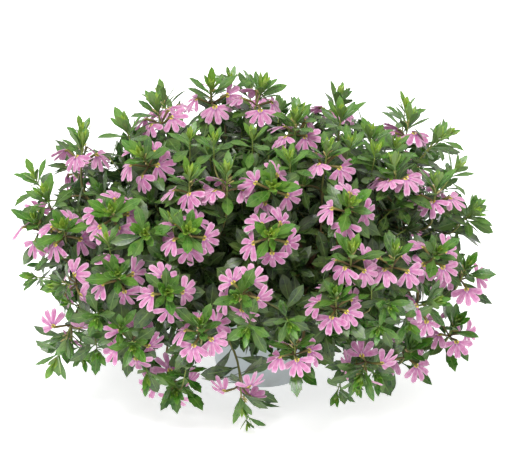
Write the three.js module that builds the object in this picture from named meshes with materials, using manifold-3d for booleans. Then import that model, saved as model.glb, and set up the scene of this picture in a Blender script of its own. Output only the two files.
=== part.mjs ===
// A fan flower (Scaevola) in a plain tapered pot: a wide mound of leafy stems that rise from the soil,
// arch over the rim and end in tufts of toothed leaves, most with a ring of half-round, five-petalled
// blooms below the tuft. Millimetres, +Z up. The origin is the middle of the pot's underside, and -Y is
// the side that the photograph shows.
import * as THREE from "three";
import { mergeVertices } from "three/addons/utils/BufferGeometryUtils.js";
import Module from "manifold-3d";

const wasm = await Module();
wasm.setup();

const DEGREE = Math.PI / 180;

// ---- The pot, and the soil in it.
const POT_HEIGHT = 112;
const POT_FOOT_RADIUS = 43;
const POT_MOUTH_RADIUS = 61;
const POT_WALL = 2;
const POT_FLOOR = 3;
const POT_LIP = { height: 10, overhang: 3 };
const POT_FOOT_BAND = { height: 9, setBack: 0.8 };
const POT_SIDES = 26;
const DRAIN_HOLES = { count: 5, ring: 27, radius: 4, sides: 6 };
const SOIL_BELOW_RIM = 12;
const SOIL_CROWN = 3;
const SOIL_SIDES = 20;
const SEAT_GAP = 0.3;
const STEM_HOLE = { depth: 14, sides: 5 };

// ---- The mound: the ellipsoid on which the rings of blooms lie.
const MOUND_CENTRE = new THREE.Vector3(-11, 0, 135);
const MOUND_RADII = new THREE.Vector3(212, 195, 130);

// ---- Stems. Main stems stand in the soil in two circles, and their side stems leave them part of the
// way up. Each ends in a straight leafy stretch, with its ring of blooms at 0 on it. A circle takes the
// shoots that end within so far of the pot's axis, and each stem in it those nearest to its turn.
const MAIN_STEM = { radius: 2.2, sides: 4, steps: 5 };
const SIDE_STEM = { radius: 1.4, sides: 3, steps: 3 };
const STEM_CIRCLES = [
  { ring: 8, within: 90, turns: [-100] },
  { ring: 37, within: Infinity, turns: [-160, -117, -72, -28, 40, 140] },
];
const STEM_RISES = [0.45, 0.55, 0.65];
const STEM_RUN = 0.36;
const BRANCH_AT = [0.34, 0.46, 0.4, 0.52, 0.28, 0.58];
const BRANCH_LEAN = 0.81;

// ---- Leaves, up the straight stretch of a stem: where a leaf's root starts and ends, its spread from
// the stem, its length and how far its tip bends down, as a share of the length.
const LEAVES = [
  { from: -14, to: -11, spread: 88, length: 37, arch: 0.26 },
  { from: -14, to: -11, spread: 76, length: 34, arch: 0.2 },
  { from: 3.5, to: 7, spread: 56, length: 30, arch: 0.14 },
  { from: 7, to: 10.5, spread: 44, length: 28, arch: 0.1 },
  { from: 7, to: 10.5, spread: 32, length: 26, arch: 0.05 },
  { from: 10.5, to: 14, spread: 16, length: 23, arch: 0 },
];
const STATIONS = [...new Set(LEAVES.flatMap(({ from, to }) => [from, to]))];
const LEAF_HALF_WIDTH = 0.2;
const LEAF_TOOTH = { along: 0.6, out: 1 };
const LEAF_NOTCH = { along: 0.72, out: 0.7 };
const LEAF_HEART = 0.52;
const LEAF_HALF_THICKNESS = 0.75;
const LEAF_FOLD = 0.16;
const LEAF_TRIALS = 7;
const LEAF_TURN_STEP = 8 * DEGREE;
const LEAF_ROOM = 1.15;
const GOLDEN_ANGLE = 137.5 * DEGREE;

// ---- One bloom: a tube from the stem, and a half-round fan of five petals.
const THROAT_OUT = 14.5;
const THROAT_UP = 4.5;
const THROAT_HALF_WIDTH = 1.4;
const PETALS = 5;
const PETAL_SPACING = 38 * DEGREE;
const PETAL_TIP_SPREAD = 13 * DEGREE;
const PETAL_LENGTH = 15;
const PETAL_NOTCH = 6.2;
const OUTER_PETAL = 0.9;
const FAN_DROOP = 26 * DEGREE;
const FAN_ROLL = 20 * DEGREE;
// How far blooms of a ring differ in turn, reach, height, droop and roll, from one end to the other.
const BLOOM_SWAY = { turn: 14 * DEGREE, out: 3.5, up: 7, droop: 22 * DEGREE, roll: 30 * DEGREE };
const BLOOM_HALF_THICKNESS = 0.9;
const RING_CLEARANCE = 0.28;
const RING_WIDTH = 1.6;
const RING_TRIALS = 6;

// ---- The shoots that the photograph shows, as its viewer sees them from VIEW_ELEVATION above the
// horizon: how far the ring of blooms lies right of the pot's axis and up from its underside, how far
// the leafy tip leans right and up from there, both across the line of sight, and how many blooms the
// ring has. A tip is TUFT_REACH from its ring.
const VIEW_ELEVATION = 24 * DEGREE;
const TUFT_REACH = 38;
const SEEN_SHOOTS = [
  // along the top, from the left
  [-167, 196, 2, 36, 4],
  [-121, 212, -10, 30, 0],
  [-94, 230, -8, 34, 4],
  [-47, 250, 0, 28, 4],
  [-5, 248, 12, 32, 4],
  [71, 223, 3, 30, 0],
  [134, 218, 8, 36, 4],
  [152, 203, 22, 27, 0],
  // the upper face
  [-104, 190, -13, 19, 5],
  [30, 219, 0, 30, 4],
  [100, 205, -2, 30, 0],
  [-66, 165, 0, 32, 4],
  [-32, 167, 0, 34, 4],
  [8, 167, 2, 6, 5],
  [57, 190, 4, 30, 4],
  [122, 174, -4, 36, 5],
  [158, 158, 2, 34, 4],
  // the left flank
  [-194, 150, -9, 28, 0],
  [-205, 131, -8, 19, 4],
  [-180, 126, -2, 15, 4],
  [-135, 142, -3, 12, 5],
  [-106, 126, 2, 4, 0],
  [-170, 82, -32, -3, 4],
  [-130, 86, 0, 10, 4],
  [-176, 42, -12, -33, 3],
  // the middle
  [-68, 126, 4, 8, 5],
  [6, 124, 2, 6, 5],
  [76, 148, 6, 14, 4],
  [79, 100, 2, 25, 5],
  [117, 98, 5, 26, 4],
  [-86, 74, 3, 4, 4],
  [-18, 74, -8, -4, 5],
  // the right flank
  [186, 140, 18, 14, 0],
  [155, 104, 8, 16, 4],
  [183, 86, 10, 22, 4],
  [141, 62, 30, 9, 4],
  [174, 34, 10, 22, 5],
  // the skirt
  [66, 62, -2, 22, 5],
  [-118, 30, 2, -8, 5],
  [-55, 38, 0, 18, 5],
  [29, 20, 0, 26, 5],
  [94, 10, -8, -24, 4],
  [133, 14, 12, 18, 4],
  [-84, -8, 8, -16, 4],
  [-20, -12, 3, -37, 3],
];
// ---- The shoots behind, in rows a little inside the mound, each at its elevation and spread over an
// arc.
const BACK_REACH = 0.9;
const BACK_ROWS = [
  { elevation: 50, from: 50, to: 130, count: 3, blooms: 4 },
  { elevation: 16, from: 30, to: 150, count: 4, blooms: 4 },
  { elevation: -20, from: 22, to: 158, count: 6, blooms: 4 },
];

const UP = new THREE.Vector3(0, 0, 1);
const RIGHT = new THREE.Vector3(1, 0, 0);
const VIEW_UP = new THREE.Vector3(0, Math.sin(VIEW_ELEVATION), Math.cos(VIEW_ELEVATION));
const TO_VIEWER = new THREE.Vector3(0, -Math.cos(VIEW_ELEVATION), Math.sin(VIEW_ELEVATION));

// A point moved by so much in each of some directions, and a direction blended from others.
const at = (point, ...steps) =>
  steps.reduce((sum, [direction, length]) => sum.addScaledVector(direction, length), point.clone());
const blend = (...steps) => at(new THREE.Vector3(), ...steps);

// A number from 0 to 1, the same each time for the same counters.
function draw(shoot, item, use) {
  const wave = Math.sin(shoot * 127.1 + item * 311.7 + use * 74.7) * 43758.5453;
  return wave - Math.floor(wave);
}

// The direction square to an axis, at a turn round it.
function radialAt(axis, turn) {
  const first = new THREE.Vector3().crossVectors(axis, Math.abs(axis.z) > 0.95 ? RIGHT : UP).normalize();
  return blend([first, Math.cos(turn)], [new THREE.Vector3().crossVectors(axis, first), Math.sin(turn)]);
}

// ---- Solids.
const geometryOf = (corners) => new THREE.BufferGeometry().setFromPoints(corners);

function solidOf(geometry) {
  const bare = geometry.clone();
  bare.deleteAttribute("normal");
  bare.deleteAttribute("uv");
  const merged = mergeVertices(bare, 1e-4);
  return new wasm.Manifold(
    new wasm.Mesh({
      numProp: 3,
      vertProperties: new Float32Array(merged.attributes.position.array),
      triVerts: new Uint32Array(merged.index.array),
    }),
  );
}

function meshOf(name, solid, material) {
  const { vertProperties, triVerts } = solid.getMesh();
  const geometry = new THREE.BufferGeometry()
    .setAttribute("position", new THREE.BufferAttribute(new Float32Array(vertProperties), 3))
    .setIndex(new THREE.BufferAttribute(new Uint32Array(triVerts), 1));
  geometry.computeVertexNormals();
  const mesh = new THREE.Mesh(geometry, material);
  mesh.name = name;
  return mesh;
}

// Solids with their boxes, to keep neighbours clear of each other.
const TOUCH = 0.0005;
const boxed = (solid, notes) => {
  const { min, max } = solid.boundingBox();
  return { ...notes, solid, box: new THREE.Box3(new THREE.Vector3(...min), new THREE.Vector3(...max)) };
};
const isClear = (thing, others) =>
  others.every((o) => !thing.box.intersectsBox(o.box) || thing.solid.intersect(o.solid).volume() < TOUCH);

// An upright prism, for the holes in the pot's floor and in the soil.
function uprightPrism(radius, sides, x, y, low, high) {
  const prism = new THREE.CylinderGeometry(radius, radius, high - low, sides);
  return prism.rotateX(Math.PI / 2).translate(x, y, (low + high) / 2);
}

// ---- The pot.
const POT_TAPER = (POT_MOUTH_RADIUS - POT_FOOT_RADIUS) / POT_HEIGHT;
const wallAt = (z) => POT_FOOT_RADIUS + POT_TAPER * z;

function makePot() {
  const { height: lipHeight, overhang } = POT_LIP;
  const { height: bandHeight, setBack } = POT_FOOT_BAND;
  const profile = [
    [0, 0],
    [POT_FOOT_RADIUS - setBack, 0],
    [wallAt(bandHeight) - setBack, bandHeight],
    [wallAt(bandHeight), bandHeight],
    [wallAt(POT_HEIGHT - lipHeight), POT_HEIGHT - lipHeight],
    [POT_MOUTH_RADIUS + overhang - 1, POT_HEIGHT - lipHeight],
    [POT_MOUTH_RADIUS + overhang, POT_HEIGHT - 1],
    [POT_MOUTH_RADIUS + overhang - 1, POT_HEIGHT],
    [POT_MOUTH_RADIUS - POT_WALL, POT_HEIGHT],
    [wallAt(POT_FLOOR) - POT_WALL, POT_FLOOR],
    [0, POT_FLOOR],
  ].map(([r, z]) => new THREE.Vector2(r, z));
  const shell = solidOf(new THREE.LatheGeometry(profile, POT_SIDES).rotateX(Math.PI / 2));
  const { count, ring, radius, sides } = DRAIN_HOLES;
  const drains = Array.from({ length: count }, (_, i) => {
    const turn = (2 * Math.PI * i) / count;
    const [x, y] = [ring * Math.cos(turn), ring * Math.sin(turn)];
    return solidOf(uprightPrism(radius, sides, x, y, -1, POT_FLOOR + 1));
  });
  return shell.subtract(wasm.Manifold.union(drains));
}

// ---- The soil: it fills the pot to SOIL_BELOW_RIM, with a hole for each main stem.
const SOIL_TOP = POT_HEIGHT - SOIL_BELOW_RIM;

function makeSoil(roots) {
  const insideAt = (z) => wallAt(z) - POT_WALL - 2 * SEAT_GAP;
  const low = POT_FLOOR + SEAT_GAP;
  const profile = [
    [0, low],
    [insideAt(low), low],
    [insideAt(SOIL_TOP), SOIL_TOP],
    [insideAt(SOIL_TOP) * 0.6, SOIL_TOP + 0.8 * SOIL_CROWN],
    [0, SOIL_TOP + SOIL_CROWN],
  ].map(([r, z]) => new THREE.Vector2(r, z));
  const body = solidOf(new THREE.LatheGeometry(profile, SOIL_SIDES).rotateX(Math.PI / 2));
  const { depth, sides } = STEM_HOLE;
  const radius = (MAIN_STEM.radius + SEAT_GAP) / Math.cos(Math.PI / sides);
  const holes = roots.map(({ x, y }) =>
    solidOf(uprightPrism(radius, sides, x, y, SOIL_TOP - depth, POT_HEIGHT)),
  );
  return body.subtract(wasm.Manifold.union(holes));
}

// ---- Where the shoots are.
// A place in the picture's plane, moved along the line of sight onto the front of the mound, or to
// where the sight line passes nearest to it.
function ontoMound(right, up) {
  const start = blend([RIGHT, right], [VIEW_UP, up]).sub(MOUND_CENTRE).divide(MOUND_RADII);
  const sight = TO_VIEWER.clone().divide(MOUND_RADII);
  const [a, b, c] = [sight.dot(sight), start.dot(sight), start.dot(start) - 1];
  const distance = (-b + Math.sqrt(Math.max(0, b * b - a * c))) / a;
  return at(start, [sight, distance]).multiply(MOUND_RADII).add(MOUND_CENTRE);
}

function seenShoot([right, up, leanRight, leanUp, blooms]) {
  const towards = Math.sqrt(Math.max(0, TUFT_REACH ** 2 - leanRight ** 2 - leanUp ** 2));
  const heading = blend([RIGHT, leanRight], [VIEW_UP, leanUp], [TO_VIEWER, towards]).normalize();
  return { place: ontoMound(right, up), heading, blooms };
}

function backShoot(azimuth, elevation, blooms) {
  const level = Math.cos(elevation);
  const [x, y] = [level * Math.cos(azimuth), level * Math.sin(azimuth)];
  const outward = new THREE.Vector3(x, y, Math.sin(elevation));
  const place = at(MOUND_CENTRE, [outward.clone().multiply(MOUND_RADII), BACK_REACH]);
  return { place, heading: at(outward, [UP, 0.5]).normalize(), blooms };
}

function makeShoots() {
  const behind = BACK_ROWS.flatMap(({ elevation, from, to, count, blooms }) =>
    Array.from({ length: count }, (_, i) => {
      const azimuth = from + ((to - from) * i) / (count - 1);
      return backShoot(azimuth * DEGREE, elevation * DEGREE, blooms);
    }),
  );
  return [...SEEN_SHOOTS.map(seenShoot), ...behind].map((shoot, index) => ({ ...shoot, index }));
}

// Main stems' places, each with the shoots that grow from it, in order round it.
function dealToStems(shoots) {
  let inner = 0;
  return STEM_CIRCLES.flatMap(({ ring, within, turns }) => {
    const mine = shoots.filter(({ place: p }) => {
      const reach = Math.hypot(p.x, p.y);
      return reach >= inner && reach < within;
    });
    inner = within;
    const stands = turns.map((turn) => ({ x: Math.cos(turn * DEGREE), y: Math.sin(turn * DEGREE) }));
    const nearest = ({ place: p }) => {
      const facing = stands.map(({ x, y }) => p.x * x + p.y * y);
      return facing.indexOf(Math.max(...facing));
    };
    return stands.map(({ x, y }, i) => {
      const aside = ({ place: p }) => Math.atan2(x * p.y - y * p.x, x * p.x + y * p.y);
      const share = mine.filter((shoot) => nearest(shoot) === i).sort((p, q) => aside(p) - aside(q));
      return { x: ring * x, y: ring * y, shoots: share };
    });
  });
}

// ---- Stems.
// A path for a tube with a ring of corners at each of its points, however far apart they are.
class StemPath extends THREE.CatmullRomCurve3 {
  getUtoTmapping(u) {
    return u;
  }
}

// A stem's tube: from its start it bends to the foot of the shoot's straight stretch and runs up that.
function makeStem(shoot, kind, before, start, heading, rise) {
  const straight = STATIONS.map((along) => at(shoot.place, [shoot.heading, along]));
  const span = start.distanceTo(straight[0]);
  const bend = new THREE.CubicBezierCurve3(
    start,
    at(start, [heading, rise * span]),
    at(straight[0], [shoot.heading, -STEM_RUN * span]),
    straight[0],
  );
  const path = new StemPath([...before, ...bend.getPoints(kind.steps), ...straight.slice(1)]);
  const section = Array.from({ length: kind.sides }, (_, i) => {
    const turn = (2 * Math.PI * i) / kind.sides;
    return new THREE.Vector2(kind.radius * Math.cos(turn), kind.radius * Math.sin(turn));
  });
  const steps = path.points.length - 1;
  const tube = new THREE.ExtrudeGeometry(new THREE.Shape(section), { steps, extrudePath: path });
  return boxed(solidOf(tube), { ...shoot, kind, bend, path, tube });
}

// All the stems, each taking the first rise and the first fork that clear the other plants' stems.
function growStems(roots, vessel) {
  const stems = [];
  const keepFirstClear = (stemIndex, choices) => {
    const others = [...vessel, ...stems.filter((stem) => stem.stemIndex !== stemIndex)];
    const stem = choices.find((choice) => isClear(choice, others)) ?? choices[0];
    stems.push({ ...stem, stemIndex });
  };
  const mainOf = ({ shoots }) => Math.floor(shoots.length / 2);
  roots.forEach((root, stemIndex) => {
    const foot = new THREE.Vector3(root.x, root.y, SOIL_TOP - STEM_HOLE.depth + SEAT_GAP);
    const base = new THREE.Vector3(root.x, root.y, SOIL_TOP + SOIL_CROWN + 1);
    const choices = STEM_RISES.map((rise) =>
      makeStem(root.shoots[mainOf(root)], MAIN_STEM, [foot], base, UP, rise),
    );
    keepFirstClear(stemIndex, choices);
  });
  roots.forEach((root, stemIndex) => {
    const { bend } = stems[stemIndex];
    root.shoots.forEach((shoot, i) => {
      if (i === mainOf(root)) return;
      const choices = STEM_RISES.flatMap((rise) =>
        BRANCH_AT.map((_, j) => {
          const t = BRANCH_AT[(i + j) % BRANCH_AT.length];
          const start = bend.getPoint(t);
          const towards = shoot.place.clone().sub(start).normalize();
          const heading = at(bend.getTangent(t), [towards, BRANCH_LEAN]).normalize();
          return makeStem(shoot, SIDE_STEM, [], start, heading, rise);
        }),
      );
      keepFirstClear(stemIndex, choices);
    });
  });
  return stems;
}

// ---- Leaves. Each grows out of one side of its own length of stem, whose corners are a, b, c and d,
// anticlockwise from outside, with a and b nearer the root.
function leafTriangles([a, b, c, d], heading, leaf, turn, girth = 1) {
  const radial = radialAt(heading, turn);
  const spread = leaf.spread * DEGREE;
  const along = blend([heading, Math.cos(spread)], [radial, Math.sin(spread)]);
  const face = blend([heading, Math.sin(spread)], [radial, -Math.cos(spread)]);
  const side = new THREE.Vector3().crossVectors(face, along);
  const root = blend([a, 0.25], [b, 0.25], [c, 0.25], [d, 0.25]);
  const halfWidth = leaf.length * LEAF_HALF_WIDTH * girth;
  const point = (s, w, h = 0) => {
    const lift = h + LEAF_FOLD * Math.abs(w) * halfWidth - leaf.arch * s * s * leaf.length;
    return at(root, [along, s * leaf.length], [side, w * halfWidth], [face, lift]);
  };
  const edge = [
    point(LEAF_TOOTH.along, -LEAF_TOOTH.out),
    point(LEAF_NOTCH.along, -LEAF_NOTCH.out),
    point(1, 0),
    point(LEAF_NOTCH.along, LEAF_NOTCH.out),
    point(LEAF_TOOTH.along, LEAF_TOOTH.out),
  ];
  const above = point(LEAF_HEART, 0, LEAF_HALF_THICKNESS * girth);
  const below = point(LEAF_HEART, 0, -LEAF_HALF_THICKNESS * girth);
  const upper = [d, ...edge, c];
  const lower = [a, ...edge, b];
  return [
    ...upper.flatMap((p, i) => [above, p, upper[(i + 1) % upper.length]]),
    ...lower.flatMap((p, i) => [below, lower[(i + 1) % lower.length], p]),
    ...[d, a, edge[0]],
    ...[b, c, edge[4]],
  ];
}

// ExtrudeGeometry lays a tube's sides down after its two ends, side by side and each from the root up,
// with six corners to a length of side: a, b, d, b, c and d.
const CORNERS = 6;
const cornerOf = (tube, i) => new THREE.Vector3().fromBufferAttribute(tube.attributes.position, i);

// The side of a stem's tube that faces nearest to a turn, on the length of it above a station.
function sideFacing({ tube, path, heading, kind }, from, turn) {
  const lengths = path.points.length - 1;
  const length = path.points.length - STATIONS.length + STATIONS.indexOf(from);
  const outward = radialAt(heading, turn);
  const sides = Array.from({ length: kind.sides }, (_, side) => {
    const first = tube.groups[1].start + CORNERS * (side * lengths + length);
    const corners = [0, 1, 4, 2].map((i) => cornerOf(tube, first + i));
    const middle = blend([corners[0], 0.5], [corners[1], 0.5]).sub(path.points[length]);
    return { first, corners, facing: middle.dot(outward) };
  });
  return sides.reduce((best, side) => (side.facing > best.facing ? side : best));
}

// The tube with each leaf's triangles in place of the side that it grows from.
function leafyTube(tube, leaves) {
  const grown = new Map(leaves.map(({ first, triangles }) => [first, triangles]));
  const corners = [];
  for (let i = 0; i < tube.attributes.position.count; ) {
    if (grown.has(i)) {
      corners.push(...grown.get(i));
      i += CORNERS;
    } else {
      corners.push(cornerOf(tube, i));
      i += 1;
    }
  }
  return geometryOf(corners);
}

// ---- A ring of blooms round a shoot's stem: one closed band, each part of it a tube and its fan.
function ringOfBlooms({ place, heading, index, kind }, count, turn) {
  const half = Math.PI / count;
  const holeCorner = (kind.radius + RING_CLEARANCE) / Math.cos(half);
  const from = (angle, out, up, aside = 0) => {
    const radial = radialAt(heading, angle);
    const tangent = new THREE.Vector3().crossVectors(heading, radial);
    return at(place, [radial, out], [heading, up], [tangent, aside]);
  };
  const joints = Array.from({ length: count }, (_, i) => {
    const angle = turn + (2 * i - 1) * half;
    return {
      valley: from(angle, holeCorner + RING_WIDTH, 0),
      top: from(angle, holeCorner, BLOOM_HALF_THICKNESS),
      bottom: from(angle, holeCorner, -BLOOM_HALF_THICKNESS),
    };
  });
  const corners = joints.flatMap((left, i) => {
    const right = joints[(i + 1) % count];
    const sway = (size, use) => size * (draw(index, i, use) - 0.5);
    const angle = turn + 2 * i * half + sway(BLOOM_SWAY.turn, 6);
    const out = THROAT_OUT + sway(BLOOM_SWAY.out, 7);
    const up = THROAT_UP + sway(BLOOM_SWAY.up, 8);
    const droop = FAN_DROOP + sway(BLOOM_SWAY.droop, 9);
    const roll = FAN_ROLL + sway(BLOOM_SWAY.roll, 10);
    const radial = radialAt(heading, angle);
    const tangent = new THREE.Vector3().crossVectors(heading, radial);
    const down = blend([radial, Math.cos(droop)], [heading, -Math.sin(droop)]);
    const face = new THREE.Vector3().crossVectors(down, tangent);
    const side = blend([tangent, Math.cos(roll)], [face, Math.sin(roll)]);
    const throat = from(angle, out, up);
    const inFan = (spread, length) =>
      at(throat, [down, length * Math.cos(spread)], [side, length * Math.sin(spread)]);
    const length = PETAL_LENGTH * (0.94 + 0.12 * draw(index, i, 5));
    const petals = Array.from({ length: PETALS }, (_, petal) => {
      const spread = (petal - (PETALS - 1) / 2) * PETAL_SPACING;
      const notch = inFan(spread + PETAL_SPACING / 2, PETAL_NOTCH);
      if (petal === 0) return [inFan(spread, OUTER_PETAL * length), notch];
      if (petal === PETALS - 1) return [inFan(spread, OUTER_PETAL * length)];
      return [inFan(spread - PETAL_TIP_SPREAD, length), inFan(spread + PETAL_TIP_SPREAD, length), notch];
    });
    const edge = [
      left.valley,
      from(angle, out - 2, up, -THROAT_HALF_WIDTH),
      ...petals.flat(),
      from(angle, out - 2, up, THROAT_HALF_WIDTH),
      right.valley,
    ];
    const above = at(throat, [face, BLOOM_HALF_THICKNESS]);
    const below = at(throat, [face, -BLOOM_HALF_THICKNESS]);
    const upper = [left.top, ...edge, right.top];
    const lower = [left.bottom, ...edge, right.bottom];
    return [
      ...upper.flatMap((p, j) => [above, p, upper[(j + 1) % upper.length]]),
      ...lower.flatMap((p, j) => [below, lower[(j + 1) % lower.length], p]),
      ...[left.top, right.top, right.bottom],
      ...[left.top, right.bottom, left.bottom],
    ];
  });
  return geometryOf(corners);
}

// Each ring takes the first turn that clears what is there, or has a bloom fewer.
function growRings(stems, standing) {
  const rings = [];
  for (const stem of stems.filter(({ blooms }) => blooms > 0)) {
    for (let trial = 0; trial < RING_TRIALS * (stem.blooms - 2); trial++) {
      const count = stem.blooms - Math.floor(trial / RING_TRIALS);
      const turn = ((draw(stem.index, 0, 2) + trial / RING_TRIALS) * 2 * Math.PI) / count;
      const ring = boxed(solidOf(ringOfBlooms(stem, count, turn)));
      if (!isClear(ring, [...standing, ...rings])) continue;
      rings.push(ring);
      break;
    }
  }
  return rings;
}

// Each leaf takes the first turn that clears what is there, with room to spare from all but the leaves
// and its own stem, or is left out.
function growLeaves(stems, standing) {
  const leaves = [];
  LEAVES.forEach((kind, order) => {
    for (const stem of stems) {
      const { index, heading } = stem;
      const turn = 2 * Math.PI * draw(index, 0, 4) + order * GOLDEN_ANGLE;
      const leaf = { ...kind, length: kind.length * (0.88 + 0.24 * draw(index, order, 3)) };
      const { first, corners } = sideFacing(stem, leaf.from, turn);
      const [a, b, c, d] = corners;
      const own = standing.filter((o) => o.index === index);
      const others = standing.filter((o) => o.index !== index);
      for (let trial = 0; trial < LEAF_TRIALS; trial++) {
        const aside = Math.ceil(trial / 2) * (trial % 2 ? LEAF_TURN_STEP : -LEAF_TURN_STEP);
        const [triangles, roomy] = [1, LEAF_ROOM].map((girth) =>
          leafTriangles(corners, heading, leaf, turn + aside, girth),
        );
        const [blade, room] = [triangles, roomy].map((shape) =>
          boxed(solidOf(geometryOf([...shape, a, d, b, b, d, c]))),
        );
        if (!isClear(blade, [...own, ...leaves]) || !isClear(room, others)) continue;
        leaves.push({ ...blade, index, first, triangles });
        break;
      }
    }
  });
  return leaves;
}

// ---- The whole plant.
const material = (color, roughness) => new THREE.MeshStandardMaterial({ color, roughness, metalness: 0 });
const potMaterial = material(0xd9dcdc, 0.45);
const soilMaterial = material(0x3a2a1e, 0.95);
const leafMaterial = material(0x4b7f35, 0.55);
const petalMaterial = material(0xe59acb, 0.6);
const numbered = (name, i) => `${name}_${String(i + 1).padStart(2, "0")}`;

const roots = dealToStems(makeShoots());
const pot = makePot();
const soil = makeSoil(roots);
const vessel = [boxed(pot), boxed(soil)];
const stems = growStems(roots, vessel);
const rings = growRings(stems, [...vessel, ...stems]);
const leaves = growLeaves(stems, [...vessel, ...stems, ...rings]);

const root = new THREE.Group();
root.add(meshOf("pot", pot, potMaterial), meshOf("potting_soil", soil, soilMaterial));
roots.forEach((_, stemIndex) => {
  const grown = stems
    .filter((stem) => stem.stemIndex === stemIndex)
    .map(({ tube, index }) => solidOf(leafyTube(tube, leaves.filter((leaf) => leaf.index === index))));
  root.add(meshOf(numbered("leafy_stem", stemIndex), wasm.Manifold.union(grown), leafMaterial));
});
rings.forEach(({ solid }, i) => root.add(meshOf(numbered("bloom_ring", i), solid, petalMaterial)));

export default root;
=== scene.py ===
"""Dresses a fan flower in a plain tapered pot: its stems, leaves, blooms, soil and pot, with their finishes.

The plan of the plant is worked out in millimetres, by the same rule as its solids, and each solid says
which of the rule's choices it took. The meshes are then written in metres, +Z up, with the middle of the
pot's underside at the origin and the photographed side towards -Y.
"""

import logging
import math
from collections.abc import Iterable
from dataclasses import dataclass, field
from enum import Enum, IntEnum

import bmesh
import bpy
from mathutils import Matrix, Vector, noise
from mathutils.kdtree import KDTree

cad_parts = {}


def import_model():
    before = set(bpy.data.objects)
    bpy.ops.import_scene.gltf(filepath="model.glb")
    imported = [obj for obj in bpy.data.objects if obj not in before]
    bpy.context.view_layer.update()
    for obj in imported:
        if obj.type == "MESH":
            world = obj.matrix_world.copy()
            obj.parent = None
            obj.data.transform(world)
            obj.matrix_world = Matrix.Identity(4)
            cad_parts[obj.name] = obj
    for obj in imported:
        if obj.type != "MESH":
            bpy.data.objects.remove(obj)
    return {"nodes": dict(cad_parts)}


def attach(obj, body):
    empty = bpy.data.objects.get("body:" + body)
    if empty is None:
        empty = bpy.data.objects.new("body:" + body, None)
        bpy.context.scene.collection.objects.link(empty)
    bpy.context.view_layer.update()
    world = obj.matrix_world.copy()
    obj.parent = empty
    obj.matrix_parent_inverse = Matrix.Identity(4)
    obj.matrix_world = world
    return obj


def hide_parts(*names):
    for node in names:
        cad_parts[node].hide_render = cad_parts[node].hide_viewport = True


LOG = logging.getLogger("fan_flower")
MM = 0.001
DEGREE = math.pi / 180
FULL_TURN = 2 * math.pi
GOLDEN_ANGLE = 137.5 * DEGREE
UP = Vector((0, 0, 1))
RIGHT = Vector((1, 0, 0))
VIEW_ELEVATION = 24 * DEGREE
VIEW_UP = Vector((0, math.sin(VIEW_ELEVATION), math.cos(VIEW_ELEVATION)))
TO_VIEWER = Vector((0, -math.cos(VIEW_ELEVATION), math.sin(VIEW_ELEVATION)))
TIP_LIFT = 0.5
SHOOT_STEP = 127.1
ITEM_STEP = 311.7
USE_STEP = 74.7
WAVE_SCALE = 43758.5453
Pair = tuple[float, float]
Window = tuple[float, float, float, float]


class Use(IntEnum):
    """What a drawn number is for."""

    RING_TURN = 2
    OWN_LENGTH = 3
    FIRST_TURN = 4
    BLOOM_LENGTH = 5
    BLOOM_TURN = 6
    BLOOM_OUT = 7
    BLOOM_UP = 8
    BLOOM_DROOP = 9
    BLOOM_ROLL = 10
    TWIG_REACH = 11
    LEAF_WIDTH = 21
    LEAF_FOLD = 22
    LEAF_ARCH = 23
    LEAF_WAVE = 24
    LEAF_TWIST = 25
    LEAF_TONE = 26
    TUFT_SPREAD = 31
    TUFT_LENGTH = 32
    YOUNG_LENGTH = 33
    BEND_SPREAD = 34
    BEND_LENGTH = 35
    BEND_FORM = 36
    UNDER_TURN = 36
    UNDER_LENGTH = 37
    BUD_TURN = 38
    BUD_SPREAD = 39
    BUD_LENGTH = 41
    BUD_TONE = 42
    TUFT_SIZE = 43
    TUFT_FORM = 46
    BLOOM_TONE = 51
    BLOOM_AGE = 52
    BLOOM_ARCH = 53
    PETAL_TURN = 54
    PETAL_WIDTH = 55
    PETAL_FOLD = 56
    PETAL_ARCH = 57
    PETAL_WAVE = 58
    PETAL_TWIST = 59
    PETAL_FORM = 60
    CRUMB_SIZE = 71


def draw(shoot: int, item: int, use: Use) -> float:
    """Give a number from 0 to 1 that is the same each time for the same counters and use."""
    wave = math.sin(shoot * SHOOT_STEP + item * ITEM_STEP + use * USE_STEP) * WAVE_SCALE
    return wave - math.floor(wave)


def blend(*steps: tuple[Vector, float]) -> Vector:
    """Add up directions, each with its length.

    Args:
        steps: The directions and their lengths.

    Returns:
        The sum.
    """
    total = Vector((0, 0, 0))
    for direction, length in steps:
        total = total + direction * length
    return total


def radial_at(axis: Vector, turn: float) -> Vector:
    """Find the direction square to an axis of unit length, at a turn round it in radians."""
    first = axis.cross(RIGHT if abs(axis.z) > 0.95 else UP).normalized()
    return blend((first, math.cos(turn)), (axis.cross(first), math.sin(turn)))


def around(turn: float, reach: float = 1, height: float = 0) -> Vector:
    """Give the place at a turn round the upright axis, at a reach from it and a height."""
    return Vector((reach * math.cos(turn), reach * math.sin(turn), height))


def lifted(outward: Vector) -> Vector:
    """Lean an outward direction up, as a tip grows."""
    return (outward + UP * TIP_LIFT).normalized()


def in_window(point: Vector, windows: Iterable[Window]) -> bool:
    """Say whether the viewer sees a place within one of some windows, given as in the TwigRule."""
    right, up = point.dot(RIGHT), point.dot(VIEW_UP)
    return any(abs(right - x) < wide and abs(up - y) < high for x, y, wide, high in windows)


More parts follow.
